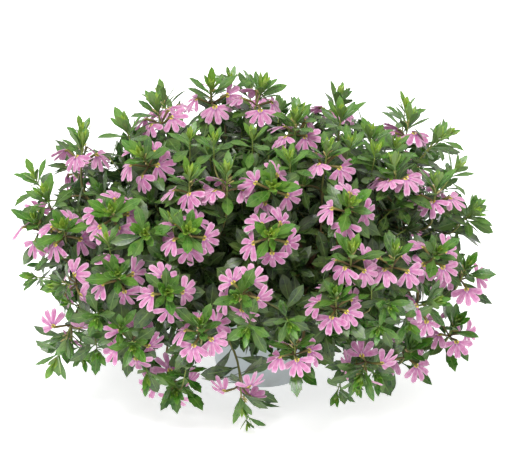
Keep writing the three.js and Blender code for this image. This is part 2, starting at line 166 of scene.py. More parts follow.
@dataclass(frozen=True)
class Mound:
    """The ellipsoid on which the rings of blooms lie, in millimetres."""

    centre: Vector = field(default_factory=lambda: Vector((-11, 0, 135)))
    radii: Vector = field(default_factory=lambda: Vector((212, 195, 130)))

    def share(self, point: Vector) -> Vector:
        """Give a place as shares of the mound's radii, from its centre."""
        away = point - self.centre
        return Vector(tuple(a / r for a, r in zip(away, self.radii)))

    def place(self, share: Vector) -> Vector:
        """Give the place that lies at such shares of the mound's radii."""
        return self.centre + Vector(tuple(s * r for s, r in zip(share, self.radii)))

    def onto(self, right: float, up: float) -> Vector:
        """Move a place of the picture's plane along the line of sight onto the mound's front.

        Args:
            right: How far it lies right of the pot's axis.
            up: How far it lies up from the pot's underside, across the line of sight.

        Returns:
            The place on the mound, or the one nearest to it on the line of sight.
        """
        start = self.share(blend((RIGHT, right), (VIEW_UP, up)))
        sight = Vector(tuple(t / r for t, r in zip(TO_VIEWER, self.radii)))
        square = sight.dot(sight)
        half = start.dot(sight)
        rest = start.dot(start) - 1
        distance = (-half + math.sqrt(max(0.0, half * half - square * rest))) / square
        return self.place(start + sight * distance)


@dataclass(frozen=True)
class Shoot:
    """One leafy tip: the place of its ring of blooms, its heading and how many blooms it has."""

    index: int
    place: Vector
    heading: Vector
    blooms: int

    def draw(self, item: int, use: Use) -> float:
        """Give the number from 0 to 1 that one of its leaves or blooms draws."""
        return draw(self.index, item, use)

    def vary(self, centre: float, share: float, item: int, use: Use) -> float:
        """Vary a value evenly to both sides of its centre, by a share of it."""
        return centre * (1 + share * (2 * self.draw(item, use) - 1))

    def sway(self, width: float, item: int, use: Use) -> float:
        """Draw a difference within a width that has nought in its middle."""
        return width * (self.draw(item, use) - 0.5)


@dataclass(frozen=True)
class StemKind:
    """A kind of stem: its radius in millimetres and how many steps its solid bends in."""

    radius: float
    steps: int


@dataclass
class Stem:
    """A stem's path: a bend from its start, then a straight leafy stretch up the shoot's heading."""

    shoot: Shoot
    kind: StemKind
    controls: tuple[Vector, Vector, Vector, Vector]
    owner: int

    def point(self, share: float) -> Vector:
        """Give the place at a share of the bend."""
        a, b, c, d = self.controls
        rest = 1 - share
        return blend(
            (a, rest**3), (b, 3 * rest * rest * share), (c, 3 * rest * share * share), (d, share**3)
        )

    def tangent(self, share: float) -> Vector:
        """Give the direction of growth at a share of the bend."""
        a, b, c, d = self.controls
        rest = 1 - share
        return blend(
            (b - a, rest * rest), (c - b, 2 * rest * share), (d - c, share * share)
        ).normalized()

    def beside(self, along: float) -> Vector:
        """Give the place that lies so far past the ring of blooms, up the straight stretch."""
        return self.shoot.place + self.shoot.heading * along

    def length(self, steps: int = 12) -> float:
        """Give the bend's length, near enough."""
        points = [self.point(i / steps) for i in range(steps + 1)]
        return sum((q - p).length for p, q in zip(points, points[1:]))


@dataclass(frozen=True)
class LeafRow:
    """One leaf of the straight stretch, as its solid has it: root, spread, length and arch."""

    start: float
    end: float
    spread: float
    length: float
    arch: float


@dataclass
class Bearings:
    """Where one leaf or bloom grows: its root and the directions along, across and out of its face."""

    root: Vector
    along: Vector
    across: Vector
    face: Vector

    def facing(self, light: Vector, pull: float) -> "Bearings":
        """Turn the blade about its midline so that its face looks more towards the light.

        Args:
            light: Where the light comes from.
            pull: How strongly it turns.

        Returns:
            The turned bearings.
        """
        towards = self.face + light * pull
        face = (towards - self.along * towards.dot(self.along)).normalized()
        return Bearings(self.root, self.along, face.cross(self.along), face)

    def tip(self, length: float, arch: float) -> Vector:
        """Give the place of a blade's tip, which arches down by a share of the blade's length."""
        return self.root + self.along * length - self.face * arch * length

    def matrix(self) -> Matrix:
        """Give the transform from the blade's own axes into the plant."""
        columns = (self.along, self.across, self.face, self.root)
        rows = [[column[i] for column in columns] for i in range(3)]
        return Matrix((*rows, [0, 0, 0, 1]))


def leaf_bearings(place: Vector, heading: Vector, turn: float, off: float, spread: float) -> Bearings:
    """Set a blade on a stem.

    Args:
        place: The place in the stem's middle where the blade leaves it.
        heading: The stem's direction there.
        turn: The blade's turn round the stem.
        off: How far the blade's root is off the stem's middle.
        spread: The angle between the blade and the stem.

    Returns:
        The blade's bearings, with its upper face towards the stem's tip.
    """
    radial = radial_at(heading, turn)
    along = blend((heading, math.cos(spread)), (radial, math.sin(spread)))
    face = blend((heading, math.sin(spread)), (radial, -math.cos(spread)))
    return Bearings(place + radial * off, along, face.cross(along), face)


class SolidCorners:
    """The corners of one solid, looked up by place, in millimetres."""

    def __init__(self, node: bpy.types.Object) -> None:
        """Gather the corners of a node's solid.

        Args:
            node: The node's object.
        """
        corners = [vertex.co / MM for vertex in node.data.vertices]
        self.tree = KDTree(len(corners))
        for i, corner in enumerate(corners):
            self.tree.insert(corner, i)
        self.tree.balance()
        self.middle = sum(corners, Vector((0, 0, 0))) / len(corners)

    def nearest(self, point: Vector) -> tuple[Vector, float]:
        """Give the corner nearest to a point, and how far off it is."""
        corner, _, distance = self.tree.find(point)
        return corner, distance


class PlantRule:
    """The rule by which the shoots stand on the mound and grow from the main stems."""

    main_kind = StemKind(radius=2.2, steps=5)
    side_kind = StemKind(radius=1.4, steps=3)
    tuft_reach = 38.0
    foot_height = 86.3
    base_height = 104.0
    rises = (0.45, 0.55, 0.65)
    run = 0.36
    forks = (0.34, 0.46, 0.4, 0.52, 0.28, 0.58)
    branch_lean = 0.81
    straight_from = -14.0
    back_reach = 0.9
    circles = ((8.0, 90.0, (-100,)), (37.0, math.inf, (-160, -117, -72, -28, 40, 140)))
    leaves = (
        LeafRow(-14, -11, 88, 37, 0.26),
        LeafRow(-14, -11, 76, 34, 0.2),
        LeafRow(3.5, 7, 56, 30, 0.14),
        LeafRow(7, 10.5, 44, 28, 0.1),
        LeafRow(7, 10.5, 32, 26, 0.05),
        LeafRow(10.5, 14, 16, 23, 0),
    )
    leaf_trials = 7
    leaf_turn_step = 8 * DEGREE
    leaf_lengths = (0.88, 0.24)
    leaf_miss = 2.4
    ring_trials = 6
    seen = (
        (-167, 196, 2, 36, 4), (-121, 212, -10, 30, 0), (-94, 230, -8, 34, 4), (-47, 250, 0, 28, 4),
        (-5, 248, 12, 32, 4), (71, 223, 3, 30, 0), (134, 218, 8, 36, 4), (152, 203, 22, 27, 0),
        (-104, 190, -13, 19, 5), (30, 219, 0, 30, 4), (100, 205, -2, 30, 0), (-66, 165, 0, 32, 4),
        (-32, 167, 0, 34, 4), (8, 167, 2, 6, 5), (57, 190, 4, 30, 4), (122, 174, -4, 36, 5),
        (158, 158, 2, 34, 4), (-194, 150, -9, 28, 0), (-205, 131, -8, 19, 4), (-180, 126, -2, 15, 4),
        (-135, 142, -3, 12, 5), (-106, 126, 2, 4, 0), (-170, 82, -32, -3, 4), (-130, 86, 0, 10, 4),
        (-176, 42, -12, -33, 3), (-68, 126, 4, 8, 5), (6, 124, 2, 6, 5), (76, 148, 6, 14, 4),
        (79, 100, 2, 25, 5), (117, 98, 5, 26, 4), (-86, 74, 3, 4, 4), (-18, 74, -8, -4, 5),
        (186, 140, 18, 14, 0), (155, 104, 8, 16, 4), (183, 86, 10, 22, 4), (141, 62, 30, 9, 4),
        (174, 34, 10, 22, 5), (66, 62, -2, 22, 5), (-118, 30, 2, -8, 5), (-55, 38, 0, 18, 5),
        (29, 20, 0, 26, 5), (94, 10, -8, -24, 4), (133, 14, 12, 18, 4), (-84, -8, 8, -16, 4),
        (-20, -12, 3, -37, 3),
    )
    behind = (
        (50, 50, 130, 3, 4), (16, 30, 150, 4, 4), (-20, 22, 158, 6, 4),
    )

    def __init__(self, mound: Mound) -> None:
        """Place the shoots and the main stems.

        Args:
            mound: The mound on which the shoots stand.
        """
        self.mound = mound
        self.shoots = self._make_shoots()
        self.roots = self._deal_to_stems()

    def leaning(self, right: float, up: float) -> Vector:
        """Give the heading of a tip that leans right and up across the line of sight."""
        towards = math.sqrt(max(0.0, self.tuft_reach**2 - right**2 - up**2))
        return blend((RIGHT, right), (VIEW_UP, up), (TO_VIEWER, towards)).normalized()

    def _make_shoots(self) -> list[Shoot]:
        """Place the shoots that the photograph shows, then those behind."""
        shoots = []
        for right, up, lean_right, lean_up, blooms in self.seen:
            place = self.mound.onto(right, up)
            shoots.append(Shoot(len(shoots), place, self.leaning(lean_right, lean_up), blooms))
        for elevation, first, last, count, blooms in self.behind:
            level = math.cos(elevation * DEGREE)
            height = math.sin(elevation * DEGREE)
            for i in range(count):
                outward = around((first + (last - first) * i / (count - 1)) * DEGREE, level, height)
                place = self.mound.place(outward * self.back_reach)
                shoots.append(Shoot(len(shoots), place, lifted(outward), blooms))
        return shoots

    def _deal_to_stems(self) -> list[tuple[Vector, list[Shoot]]]:
        """Give each main stem's place in the soil, and the shoots that grow from it."""
        roots = []
        inner = 0.0
        for ring, within, turns in self.circles:
            mine = [s for s in self.shoots if inner <= math.hypot(s.place.x, s.place.y) < within]
            inner = within
            stands = [around(turn * DEGREE) for turn in turns]
            shares: list[list[Shoot]] = [[] for _ in stands]
            for shoot in mine:
                facing = [shoot.place.x * s.x + shoot.place.y * s.y for s in stands]
                shares[facing.index(max(facing))].append(shoot)
            for stand, share in zip(stands, shares):
                share.sort(key=lambda s, stand=stand: self._aside(s, stand))
                roots.append((stand * ring, share))
        return roots

    @staticmethod
    def _aside(shoot: Shoot, stand: Vector) -> float:
        """Give a shoot's turn from its main stem's."""
        x, y = shoot.place.x, shoot.place.y
        return math.atan2(stand.x * y - stand.y * x, stand.x * x + stand.y * y)

    def _bend(
        self, shoot: Shoot, kind: StemKind, owner: int, start: Vector, heading: Vector, rise: float
    ) -> Stem:
        """Bend a stem from its start to the foot of its straight stretch.

        Args:
            shoot: The shoot at its end.
            kind: The kind of stem.
            owner: The counter of the leafy stem that it belongs to.
            start: Where it starts.
            heading: Its direction there.
            rise: How far it keeps that direction, as a share of the span.

        Returns:
            The stem.
        """
        foot = shoot.place + shoot.heading * self.straight_from
        span = (foot - start).length
        controls = (start, start + heading * rise * span, foot - shoot.heading * self.run * span, foot)
        return Stem(shoot, kind, controls, owner)

    def grow(self, corners: list[SolidCorners]) -> list[Stem]:
        """Grow every stem, each by the choice that its solid took.

        Args:
            corners: The corners of each leafy stem's solid, in order.

        Returns:
            All stems, the main ones first.
        """
        stems = []
        for owner, (stand, share) in enumerate(self.roots):
            base = Vector((stand.x, stand.y, self.base_height))
            shoot = share[len(share) // 2]
            choices = [self._bend(shoot, self.main_kind, owner, base, UP, rise) for rise in self.rises]
            stems.append(min(choices, key=lambda stem: self._misfit(stem, corners[owner])))
        for owner, (_, share) in enumerate(self.roots):
            main = stems[owner]
            for i, shoot in enumerate(share):
                if i == len(share) // 2:
                    continue
                choices = []
                for rise in self.rises:
                    for j in range(len(self.forks)):
                        fork = self.forks[(i + j) % len(self.forks)]
                        start = main.point(fork)
                        towards = (shoot.place - start).normalized()
                        heading = (main.tangent(fork) + towards * self.branch_lean).normalized()
                        choices.append(self._bend(shoot, self.side_kind, owner, start, heading, rise))
                stems.append(min(choices, key=lambda stem: self._misfit(stem, corners[owner])))
        return stems

    @staticmethod
    def _misfit(stem: Stem, corners: SolidCorners) -> float:
        """Say how badly a stem's bend fits the solid: its points lie one radius from corners."""
        steps = stem.kind.steps
        gaps = [corners.nearest(stem.point(k / steps))[1] - stem.kind.radius for k in range(1, steps)]
        return sum(abs(gap) for gap in gaps)

    def leaf_on(self, stem: Stem, order: int, corners: SolidCorners) -> tuple[Bearings, LeafRow] | None:
        """Find one leaf of a stem's solid.

        Args:
            stem: The stem.
            order: The leaf's counter on it.
            corners: The corners of the leafy stem's solid.

        Returns:
            The leaf's bearings and its own measures, or None where the solid has no such leaf.
        """
        row = self.leaves[order]
        shoot = stem.shoot
        least, more = self.leaf_lengths
        length = row.length * (least + more * shoot.draw(order, Use.OWN_LENGTH))
        turn = FULL_TURN * shoot.draw(0, Use.FIRST_TURN) + order * GOLDEN_ANGLE
        axis = stem.beside((row.start + row.end) / 2)
        off = stem.kind.radius / 2
        found = []
        for trial in range(self.leaf_trials):
            aside = math.ceil(trial / 2) * (self.leaf_turn_step if trial % 2 else -self.leaf_turn_step)
            bearings = leaf_bearings(axis, shoot.heading, turn + aside, off, row.spread * DEGREE)
            found.append((corners.nearest(bearings.tip(length, row.arch))[1], trial, bearings))
        gap, _, bearings = min(found, key=lambda entry: entry[:2])
        if gap > self.leaf_miss:
            return None
        return bearings, LeafRow(row.start, row.end, row.spread, length, row.arch)


@dataclass(frozen=True)
class BloomSway:
    """How far the blooms of a ring differ from each other, from one end to the other."""

    turn: float = 14 * DEGREE
    out: float = 3.5
    up: float = 7
    droop: float = 22 * DEGREE
    roll: float = 30 * DEGREE


@dataclass(frozen=True)
class BloomSizes:
    """One bloom's sizes, in millimetres and radians, as its solid has them."""

    throat_out: float = 14.5
    throat_up: float = 4.5
    petals: int = 5
    spacing: float = 38 * DEGREE
    length: float = 15
    outer: float = 0.9
    droop: float = 26 * DEGREE
    roll: float = 20 * DEGREE
    half_thickness: float = 0.9
    sway: BloomSway = BloomSway()


@dataclass
class BloomRing:
    """The ring of blooms on one stem: how many it has, and the first one's turn round the stem."""

    sizes = BloomSizes()
    stem: Stem
    count: int
    turn: float

    @classmethod
    def found_in(cls, corners: SolidCorners, stems: list[Stem], rule: PlantRule) -> "BloomRing":
        """Find the ring that a solid stands for.

        Args:
            corners: The solid's corners.
            stems: All stems.
            rule: The rule by which rings are turned.

        Returns:
            The ring.
        """
        bearing = [stem for stem in stems if stem.shoot.blooms > 0]
        stem = min(bearing, key=lambda s: (s.shoot.place - corners.middle).length)
        blooms = stem.shoot.blooms
        choices = []
        for trial in range(rule.ring_trials * (blooms - 2)):
            count = blooms - trial // rule.ring_trials
            first = stem.shoot.draw(0, Use.RING_TURN) + trial / rule.ring_trials
            choices.append(cls(stem, count, first * FULL_TURN / count))
        return min(choices, key=lambda ring: ring.misfit(corners))

    def misfit(self, corners: SolidCorners) -> float:
        """Say how far the solid's corners are from this ring's throats, on average."""
        gaps = []
        for i in range(self.count):
            fan = self.fan(i, flat=True)
            gaps.append(corners.nearest(fan.root + fan.face * self.sizes.half_thickness)[1])
        return sum(gaps) / self.count

    def angle(self, i: int) -> float:
        """Give a bloom's turn round the stem."""
        sway = self.stem.shoot.sway(self.sizes.sway.turn, i, Use.BLOOM_TURN)
        return self.turn + FULL_TURN * i / self.count + sway

    def fan(self, i: int, flat: bool = False) -> Bearings:
        """Give a bloom's throat, and the directions down its fan, across it and out of its face.

        Args:
            i: The bloom's counter.
            flat: Leaves out the fan's roll from its face's direction.

        Returns:
            The fan's bearings.
        """
        shoot = self.stem.shoot
        radial = radial_at(shoot.heading, self.angle(i))
        tangent = shoot.heading.cross(radial)
        sizes = self.sizes
        out = sizes.throat_out + shoot.sway(sizes.sway.out, i, Use.BLOOM_OUT)
        up = sizes.throat_up + shoot.sway(sizes.sway.up, i, Use.BLOOM_UP)
        droop = sizes.droop + shoot.sway(sizes.sway.droop, i, Use.BLOOM_DROOP)
        roll = sizes.roll + shoot.sway(sizes.sway.roll, i, Use.BLOOM_ROLL)
        down = blend((radial, math.cos(droop)), (shoot.heading, -math.sin(droop)))
        face = down.cross(tangent)
        side = blend((tangent, math.cos(roll)), (face, math.sin(roll)))
        throat = blend((shoot.place, 1), (radial, out), (shoot.heading, up))
        return Bearings(throat, down, side, face if flat else down.cross(side))


class Finish(Enum):
    """The finishes of the plant and its pot, by the material that carries each."""

    LEAF_UPPER = "leaf_upper_side"
    LEAF_LOWER = "leaf_lower_side"
    STEM = "stem_bark"
    PETAL = "petal"
    TUBE = "flower_tube"
    BUD = "flower_bud"
    STYLE = "flower_style"
    POT = "pot_plastic_finish"
    SOIL = "potting_soil_finish"
    GRIT = "soil_grit"


@dataclass(frozen=True)
class BladeForm:
    """A blade's outline from root to tip.

    Each station gives how far along the midline it is, how far along the edge, and the half width,
    all as shares of the whole. The half share is a leaf's half width as a share of its length.
    """

    stations: tuple[tuple[float, float, float], ...]
    columns: int = 2
    half_share: float = 0
    merge_gap: float = 1e-4
    underside: float = -0.49
    least_half: float = 0.02

    def template(self, name: str, upper: int, lower: int) -> bpy.types.Mesh:
        """Model one flat blade of unit length, unit half width and unit thickness.

        Args:
            name: The mesh's name.
            upper: The material slot of its upper face.
            lower: The material slot of its lower face.

        Returns:
            The blade, closed, with its root at the origin and its tip at +X.
        """
        bm = bmesh.new()
        uv = bm.loops.layers.uv.new("blade")
        rows = len(self.stations) - 1
        bmesh.ops.create_grid(bm, x_segments=rows, y_segments=self.columns, size=1)
        for vert in bm.verts:
            middle, edge, half = self.stations[round((vert.co.x + 1) / 2 * rows)]
            across = abs(vert.co.y)
            along = middle + (edge - middle) * across
            vert.co = Vector((along, vert.co.y * half, 0))
        bmesh.ops.remove_doubles(bm, verts=bm.verts, dist=self.merge_gap)
        for edge_line in bm.edges:
            edge_line.smooth = not edge_line.is_boundary
        grown = bmesh.ops.extrude_face_region(bm, geom=bm.faces[:], use_keep_orig=True)
        raised = [part for part in grown["geom"] if isinstance(part, bmesh.types.BMVert)]
        bmesh.ops.translate(bm, verts=raised, vec=(0, 0, 1))
        bmesh.ops.translate(bm, verts=bm.verts, vec=(0, 0, -0.5))
        bmesh.ops.recalc_face_normals(bm, faces=bm.faces)
        for face in bm.faces:
            face.smooth = True
            face.material_index = upper if face.calc_center_median().z > self.underside else lower
            for loop in face.loops:
                co = loop.vert.co
                half = max(self.least_half, self._half_at(co.x))
                loop[uv].uv = (0.5 + 0.5 * max(-1.0, min(1.0, co.y / half)), co.x)
        mesh = bpy.data.meshes.new(name)
        bm.to_mesh(mesh)
        bm.free()
        return mesh

    def _half_at(self, along: float) -> float:
        """Give the half width at a share of the length, between the nearest stations."""
        for (a, _, half_a), (b, _, half_b) in zip(self.stations, self.stations[1:]):
            if a <= along <= b:
                return half_a + (half_b - half_a) * (along - a) / max(1e-6, b - a)
        return self.stations[-1][2]


class LeafForm(Enum):
    """The leaves' outlines: broad and toothed or entire, slim with two teeth or none, and young."""

    BROAD = BladeForm(
        (
            (0, 0, 0.07), (0.14, 0.14, 0.1), (0.32, 0.32, 0.38), (0.5, 0.5, 0.8), (0.6, 0.645, 1.0),
            (0.67, 0.66, 0.83), (0.77, 0.82, 0.78), (0.84, 0.83, 0.57), (1, 1, 0),
        ),
        half_share=0.19,
    )
    ENTIRE = BladeForm(
        (
            (0, 0, 0.08), (0.15, 0.15, 0.13), (0.36, 0.36, 0.62), (0.55, 0.55, 0.94), (0.7, 0.7, 1.0),
            (0.86, 0.86, 0.68), (1, 1, 0),
        ),
        half_share=0.18,
    )
    SLIM = BladeForm(
        (
            (0, 0, 0.14), (0.22, 0.22, 0.3), (0.46, 0.46, 0.76), (0.64, 0.69, 1.0), (0.73, 0.715, 0.8),
            (0.87, 0.87, 0.54), (1, 1, 0),
        ),
        half_share=0.165,
    )
    LANCE = BladeForm(
        (
            (0, 0, 0.14), (0.24, 0.24, 0.36), (0.48, 0.48, 0.82), (0.66, 0.66, 1.0), (0.85, 0.85, 0.66),
            (1, 1, 0),
        ),
        half_share=0.16,
    )
    YOUNG = BladeForm(
        (
            (0, 0, 0.3), (0.3, 0.3, 0.8), (0.6, 0.6, 1.0), (0.82, 0.82, 0.6), (1, 1, 0),
        ),
        half_share=0.13,
    )


class PetalForm(Enum):
    """The petals' outlines: one that ends in a blunt point and one that ends in a notch."""

    BLUNT = BladeForm(
        (
            (0, 0, 0.28), (0.2, 0.2, 0.42), (0.46, 0.46, 0.8), (0.74, 0.74, 1.0), (0.91, 0.91, 0.82),
            (1.0, 0.965, 0.28),
        ),
        columns=4,
    )
    NOTCHED = BladeForm(
        (
            (0, 0, 0.28), (0.2, 0.2, 0.42), (0.46, 0.46, 0.78), (0.75, 0.77, 1.0), (0.89, 0.93, 0.86),
            (0.94, 1.0, 0.44),
        ),
        columns=4,
    )


@dataclass(frozen=True)
class BladeLie:
    """How one blade is set: sizes in millimetres, then its fold, arch, cup, wave and twist."""

    length: float
    half_width: float
    thickness: float = 0.36
    fold: float = 0.16
    arch: float = 0.1
    cup: float = 0.0
    wave: float = 0.0
    twist: float = 0.0
    tone: float = 0.5
    age: float = 1.0


class Sprig:
    """A mesh in the making, in millimetres, with a tone and an age at each of its points."""

    wave_turns = 5.2
    wave_shift = 9
    arch_pull = 0.5
    twist_sink = 0.2
    youth = 0.6
    stalk_tone = 0.5

    def __init__(self) -> None:
        """Start with an empty mesh."""
        self.bm = bmesh.new()
        self.bm.loops.layers.uv.new("blade")
        self.tone = self.bm.verts.layers.float.new("tone")
        self.age = self.bm.verts.layers.float.new("age")

    def blade(self, template: bpy.types.Mesh, bearings: Bearings, lie: BladeLie) -> None:
        """Add one leaf or petal.

        Args:
            template: The flat blade.
            bearings: Where it grows.
            lie: How it is set.
        """
        before = len(self.bm.verts)
        self.bm.from_mesh(template)
        self.bm.verts.ensure_lookup_table()
        place = bearings.matrix()
        for vert in self.bm.verts[before:]:
            s, w, h = vert.co
            aside = w * lie.half_width
            lift = lie.fold * abs(aside) - lie.cup * aside * w
            ripple = lie.wave * math.sin(self.wave_turns * s + lie.tone * self.wave_shift)
            lift += ripple * lie.half_width * abs(w)
            lift -= lie.arch * s * s * lie.length
            turn = lie.twist * s
            local = Vector(
                (
                    s * lie.length * (1 - self.arch_pull * lie.arch * lie.arch * s),
                    aside * math.cos(turn) - lift * math.sin(turn) * self.twist_sink,
                    lift + h * lie.thickness + aside * math.sin(turn),
                )
            )
            vert.co = place @ local
            vert[self.tone] = lie.tone
            vert[self.age] = lie.age

    def stalk(self, path: "Path", slot: int, sides: int, age: float) -> None:
        """Sweep a round stalk along a path, closed at both ends.

        Args:
            path: The path, with the radius at each point.
            slot: The material slot.
            sides: How many sides it has.
            age: The age to note at its start; its tip counts as younger.
        """
        points = path.points
        last = len(points) - 1
        heading = (points[1] - points[0]).normalized()
        side = radial_at(heading, 0)
        ring = bmesh.ops.create_circle(self.bm, cap_ends=False, radius=1, segments=sides)["verts"]
        edges = list({edge for vert in ring for edge in vert.link_edges})
        skin = bmesh.ops.contextual_create(self.bm, geom=edges)["faces"]
        lie = Bearings(points[0], side, heading.cross(side), heading)
        place = self._set_ring(ring, Matrix.Identity(4), lie, path.radii[0], age)
        for i in range(1, len(points)):
            heading = (points[min(i + 1, last)] - points[i - 1]).normalized()
            side = (side - heading * side.dot(heading)).normalized()
            grown = bmesh.ops.extrude_edge_only(self.bm, edges=edges)["geom"]
            ring = [part for part in grown if isinstance(part, bmesh.types.BMVert)]
            ends = set(ring)
            edges = [part for part in grown if isinstance(part, bmesh.types.BMEdge)]
            edges = [edge for edge in edges if ends.issuperset(edge.verts)]
            sleeve = [part for part in grown if isinstance(part, bmesh.types.BMFace)]
            for face in sleeve:
                face.smooth = True
            skin += sleeve
            lie = Bearings(points[i], side, heading.cross(side), heading)
            place = self._set_ring(ring, place, lie, path.radii[i], age * (1 - self.youth * i / last))
        skin += bmesh.ops.contextual_create(self.bm, geom=edges)["faces"]
        for face in skin:
            face.material_index = slot
        bmesh.ops.recalc_face_normals(self.bm, faces=skin)

    def _set_ring(
        self, ring: list[bmesh.types.BMVert], before: Matrix, lie: Bearings, radius: float, age: float
    ) -> Matrix:
        """Move a stalk's ring of corners from where the last one is to its own place.

        Args:
            ring: The corners.
            before: The transform that the last ring has.
            lie: The ring's middle, two directions across the stalk, and the stalk's direction.
            radius: The stalk's radius there.
            age: The age to note.

        Returns:
            The transform that this ring has.
        """
        place = lie.matrix() @ Matrix.Diagonal((radius, radius, 1, 1))
        bmesh.ops.transform(self.bm, matrix=place @ before.inverted(), verts=ring)
        for vert in ring:
            vert[self.tone] = self.stalk_tone
            vert[self.age] = age
        return place

    def pip(self, bearings: Bearings, sizes: Vector, slot: int, tone: float, age: float) -> None:
        """Add a small closed oval, such as a bud, lying along its bearings from its root.

        Args:
            bearings: Where it sits.
            sizes: Its half sizes along, across and out.
            slot: The material slot.
            tone: The tone to note.
            age: The age to note.
        """
        made = bmesh.ops.create_uvsphere(self.bm, u_segments=6, v_segments=5, radius=1)["verts"]
        stand = Matrix.Translation((sizes.x, 0, 0)) @ Matrix.Diagonal((*sizes, 1))
        lie = Matrix.Rotation(math.pi / 2, 4, "Y")
        bmesh.ops.transform(self.bm, matrix=bearings.matrix() @ stand @ lie, verts=made)
        for face in {face for vert in made for face in vert.link_faces}:
            face.smooth = True
            face.material_index = slot
        for vert in made:
            vert[self.tone] = tone
            vert[self.age] = age

    def take(self, other: "Sprig") -> None:
        """Add another sprig's mesh to this one, and end that one."""
        mesh = bpy.data.meshes.new("graft")
        other.bm.to_mesh(mesh)
        other.bm.free()
        self.bm.from_mesh(mesh)
        bpy.data.meshes.remove(mesh)


@dataclass
class Path:
    """A line of points with the stalk's radius at each."""

    points: list[Vector]
    radii: list[float]

    @classmethod
    def up_stem(
        cls, stem: Stem, past: float, tip_radius: float, steps: int, under: float = 7, taper: float = 1.6
    ) -> "Path":
        """Follow a stem from its start to past its ring of blooms.

        Args:
            stem: The stem.
            past: How far past the ring it goes, in millimetres.
            tip_radius: The radius at its tip.
            steps: How many steps its bend takes.
            under: How far under the ring its straight stretch has a point.
            taper: How late it thins, as a power of the share of its length.

        Returns:
            The path.
        """
        points = [stem.point(i / steps) for i in range(steps + 1)]
        if stem.kind is PlantRule.main_kind:
            points.insert(0, points[0] + UP * (PlantRule.foot_height - points[0].z))
        points += [stem.beside(along) for along in (-under, 0, 0.5 * past, past)]
        count = len(points)
        thick = stem.kind.radius
        radii = [thick + (tip_radius - thick) * (i / (count - 1)) ** taper for i in range(count)]
        return cls(points, radii)


class Blades:
    """The flat blades that the leaves and petals are copied from."""

    def __init__(self) -> None:
        """Model one blade of each form."""
        self.leaves = {form: form.value.template(f"blade_{form.name}", 0, 1) for form in LeafForm}
        self.petals = {form: form.value.template(f"petal_{form.name}", 0, 0) for form in PetalForm}

    def discard(self) -> None:
        """Remove the blades once every copy is made."""
        for mesh in (*self.leaves.values(), *self.petals.values()):
            bpy.data.meshes.remove(mesh)


@dataclass(frozen=True)
class TwigLayer:
    """One layer of leafy twigs in the mound: reaches as shares of its radii, rooms in millimetres."""

    kind: StemKind
    candidates: int
    lowest: float
    reach: float
    spread: float
    tuft_room: float
    bloom_room: float
    leaf_size: float
    leaf_gap: float
    tuft_leaves: int
    young_leaves: int


@dataclass(frozen=True)
class TwigRule:
    """How the leafy twigs fill the mound between the shoots, in millimetres and shares.

    A window gives its middle, right and up across the line of sight, and its half sizes: no twig of the
    outer layer stands in a hollow, and no twig or further leaf in a free one. A twig that the photograph
    shows gives its place, right and up, and its lean.
    """

    outer: TwigLayer = TwigLayer(
        kind=StemKind(radius=0.95, steps=3),
        candidates=620,
        lowest=-0.42,
        reach=0.68,
        spread=0.2,
        tuft_room=27,
        bloom_room=21,
        leaf_size=0.95,
        leaf_gap=7.5,
        tuft_leaves=9,
        young_leaves=6,
    )
    inner: TwigLayer = TwigLayer(
        kind=StemKind(radius=0.85, steps=3),
        candidates=560,
        lowest=-0.74,
        reach=0.42,
        spread=0.28,
        tuft_room=24,
        bloom_room=0,
        leaf_size=1.2,
        leaf_gap=9.375,
        tuft_leaves=7,
        young_leaves=3,
    )
    flat_top: float = 0.3
    flat_from: float = 0.5
    pot_room: float = 84
    rim: float = 125
    first_index: int = 200
    first_fork: int = 5
    last_fork: int = 18
    usual_length: float = 45
    ahead: float = 12
    ahead_cost: float = 2
    deeper_by: float = 0.07
    straight: float = 8
    pull: float = 0.9
    start_run: float = 0.4
    end_run: float = 0.35
    tuft_middle: float = 15
    bloom_middle: float = 8
    hollows: tuple[Window, ...] = (
        (-30, 92, 15, 46), (74, 122, 48, 15), (4, 72, 20, 24),
    )
    free: tuple[Window, ...] = (
        (9, -4, 34, 14), (-37, 14, 11, 10), (-72, 243, 17, 12), (-147, 215, 9, 11), (-188, 184, 10, 14),
        (-36, -28, 16, 18), (52, -22, 12, 9), (-196, 50, 11, 16), (-214, 107, 14, 10), (35, 266, 12, 9),
        (101, 246, 13, 9), (106, -44, 16, 8), (136, -26, 13, 14), (-120, -12, 10, 14),
    )
    seen: tuple[tuple[float, float, float, float], ...] = (
        (-30, 274, 0, 30), (33, 242, 8, 30), (-9, 218, 0, 30), (-44, 214, 0, 30), (104, 204, 6, 30),
        (80, 212, 2, 30), (123, 211, 8, 30), (181, 190, 20, 30), (-66, 218, 0, 30), (25, 198, 0, 30),
        (-80, 142, 0, 30), (-68, 12, 6, 30), (98, 84, 0, 30), (106, -4, 12, -12), (197, 154, 24, 30),
        (-140, 124, -6, 30), (-165, 12, 6, -26), (-178, 66, -14, 6), (-150, 50, -4, -12),
        (-128, 44, 0, 10), (-202, 112, -26, 10), (-212, 88, -28, 2), (-212, 182, -14, 28),
        (-168, 226, 0, 32), (136, 250, 4, 34), (178, 224, 26, 22), (-192, 8, -12, -30),
        (-150, 18, 4, -20), (-104, -4, 4, -22), (68, -22, -8, -24), (86, -12, 0, -28),
        (114, 62, 8, -14), (132, 44, 4, -18), (104, 40, -6, -16), (-14, 42, -6, -14), (24, 46, 6, -14),
        (-14, -50, 3, -30),
    )


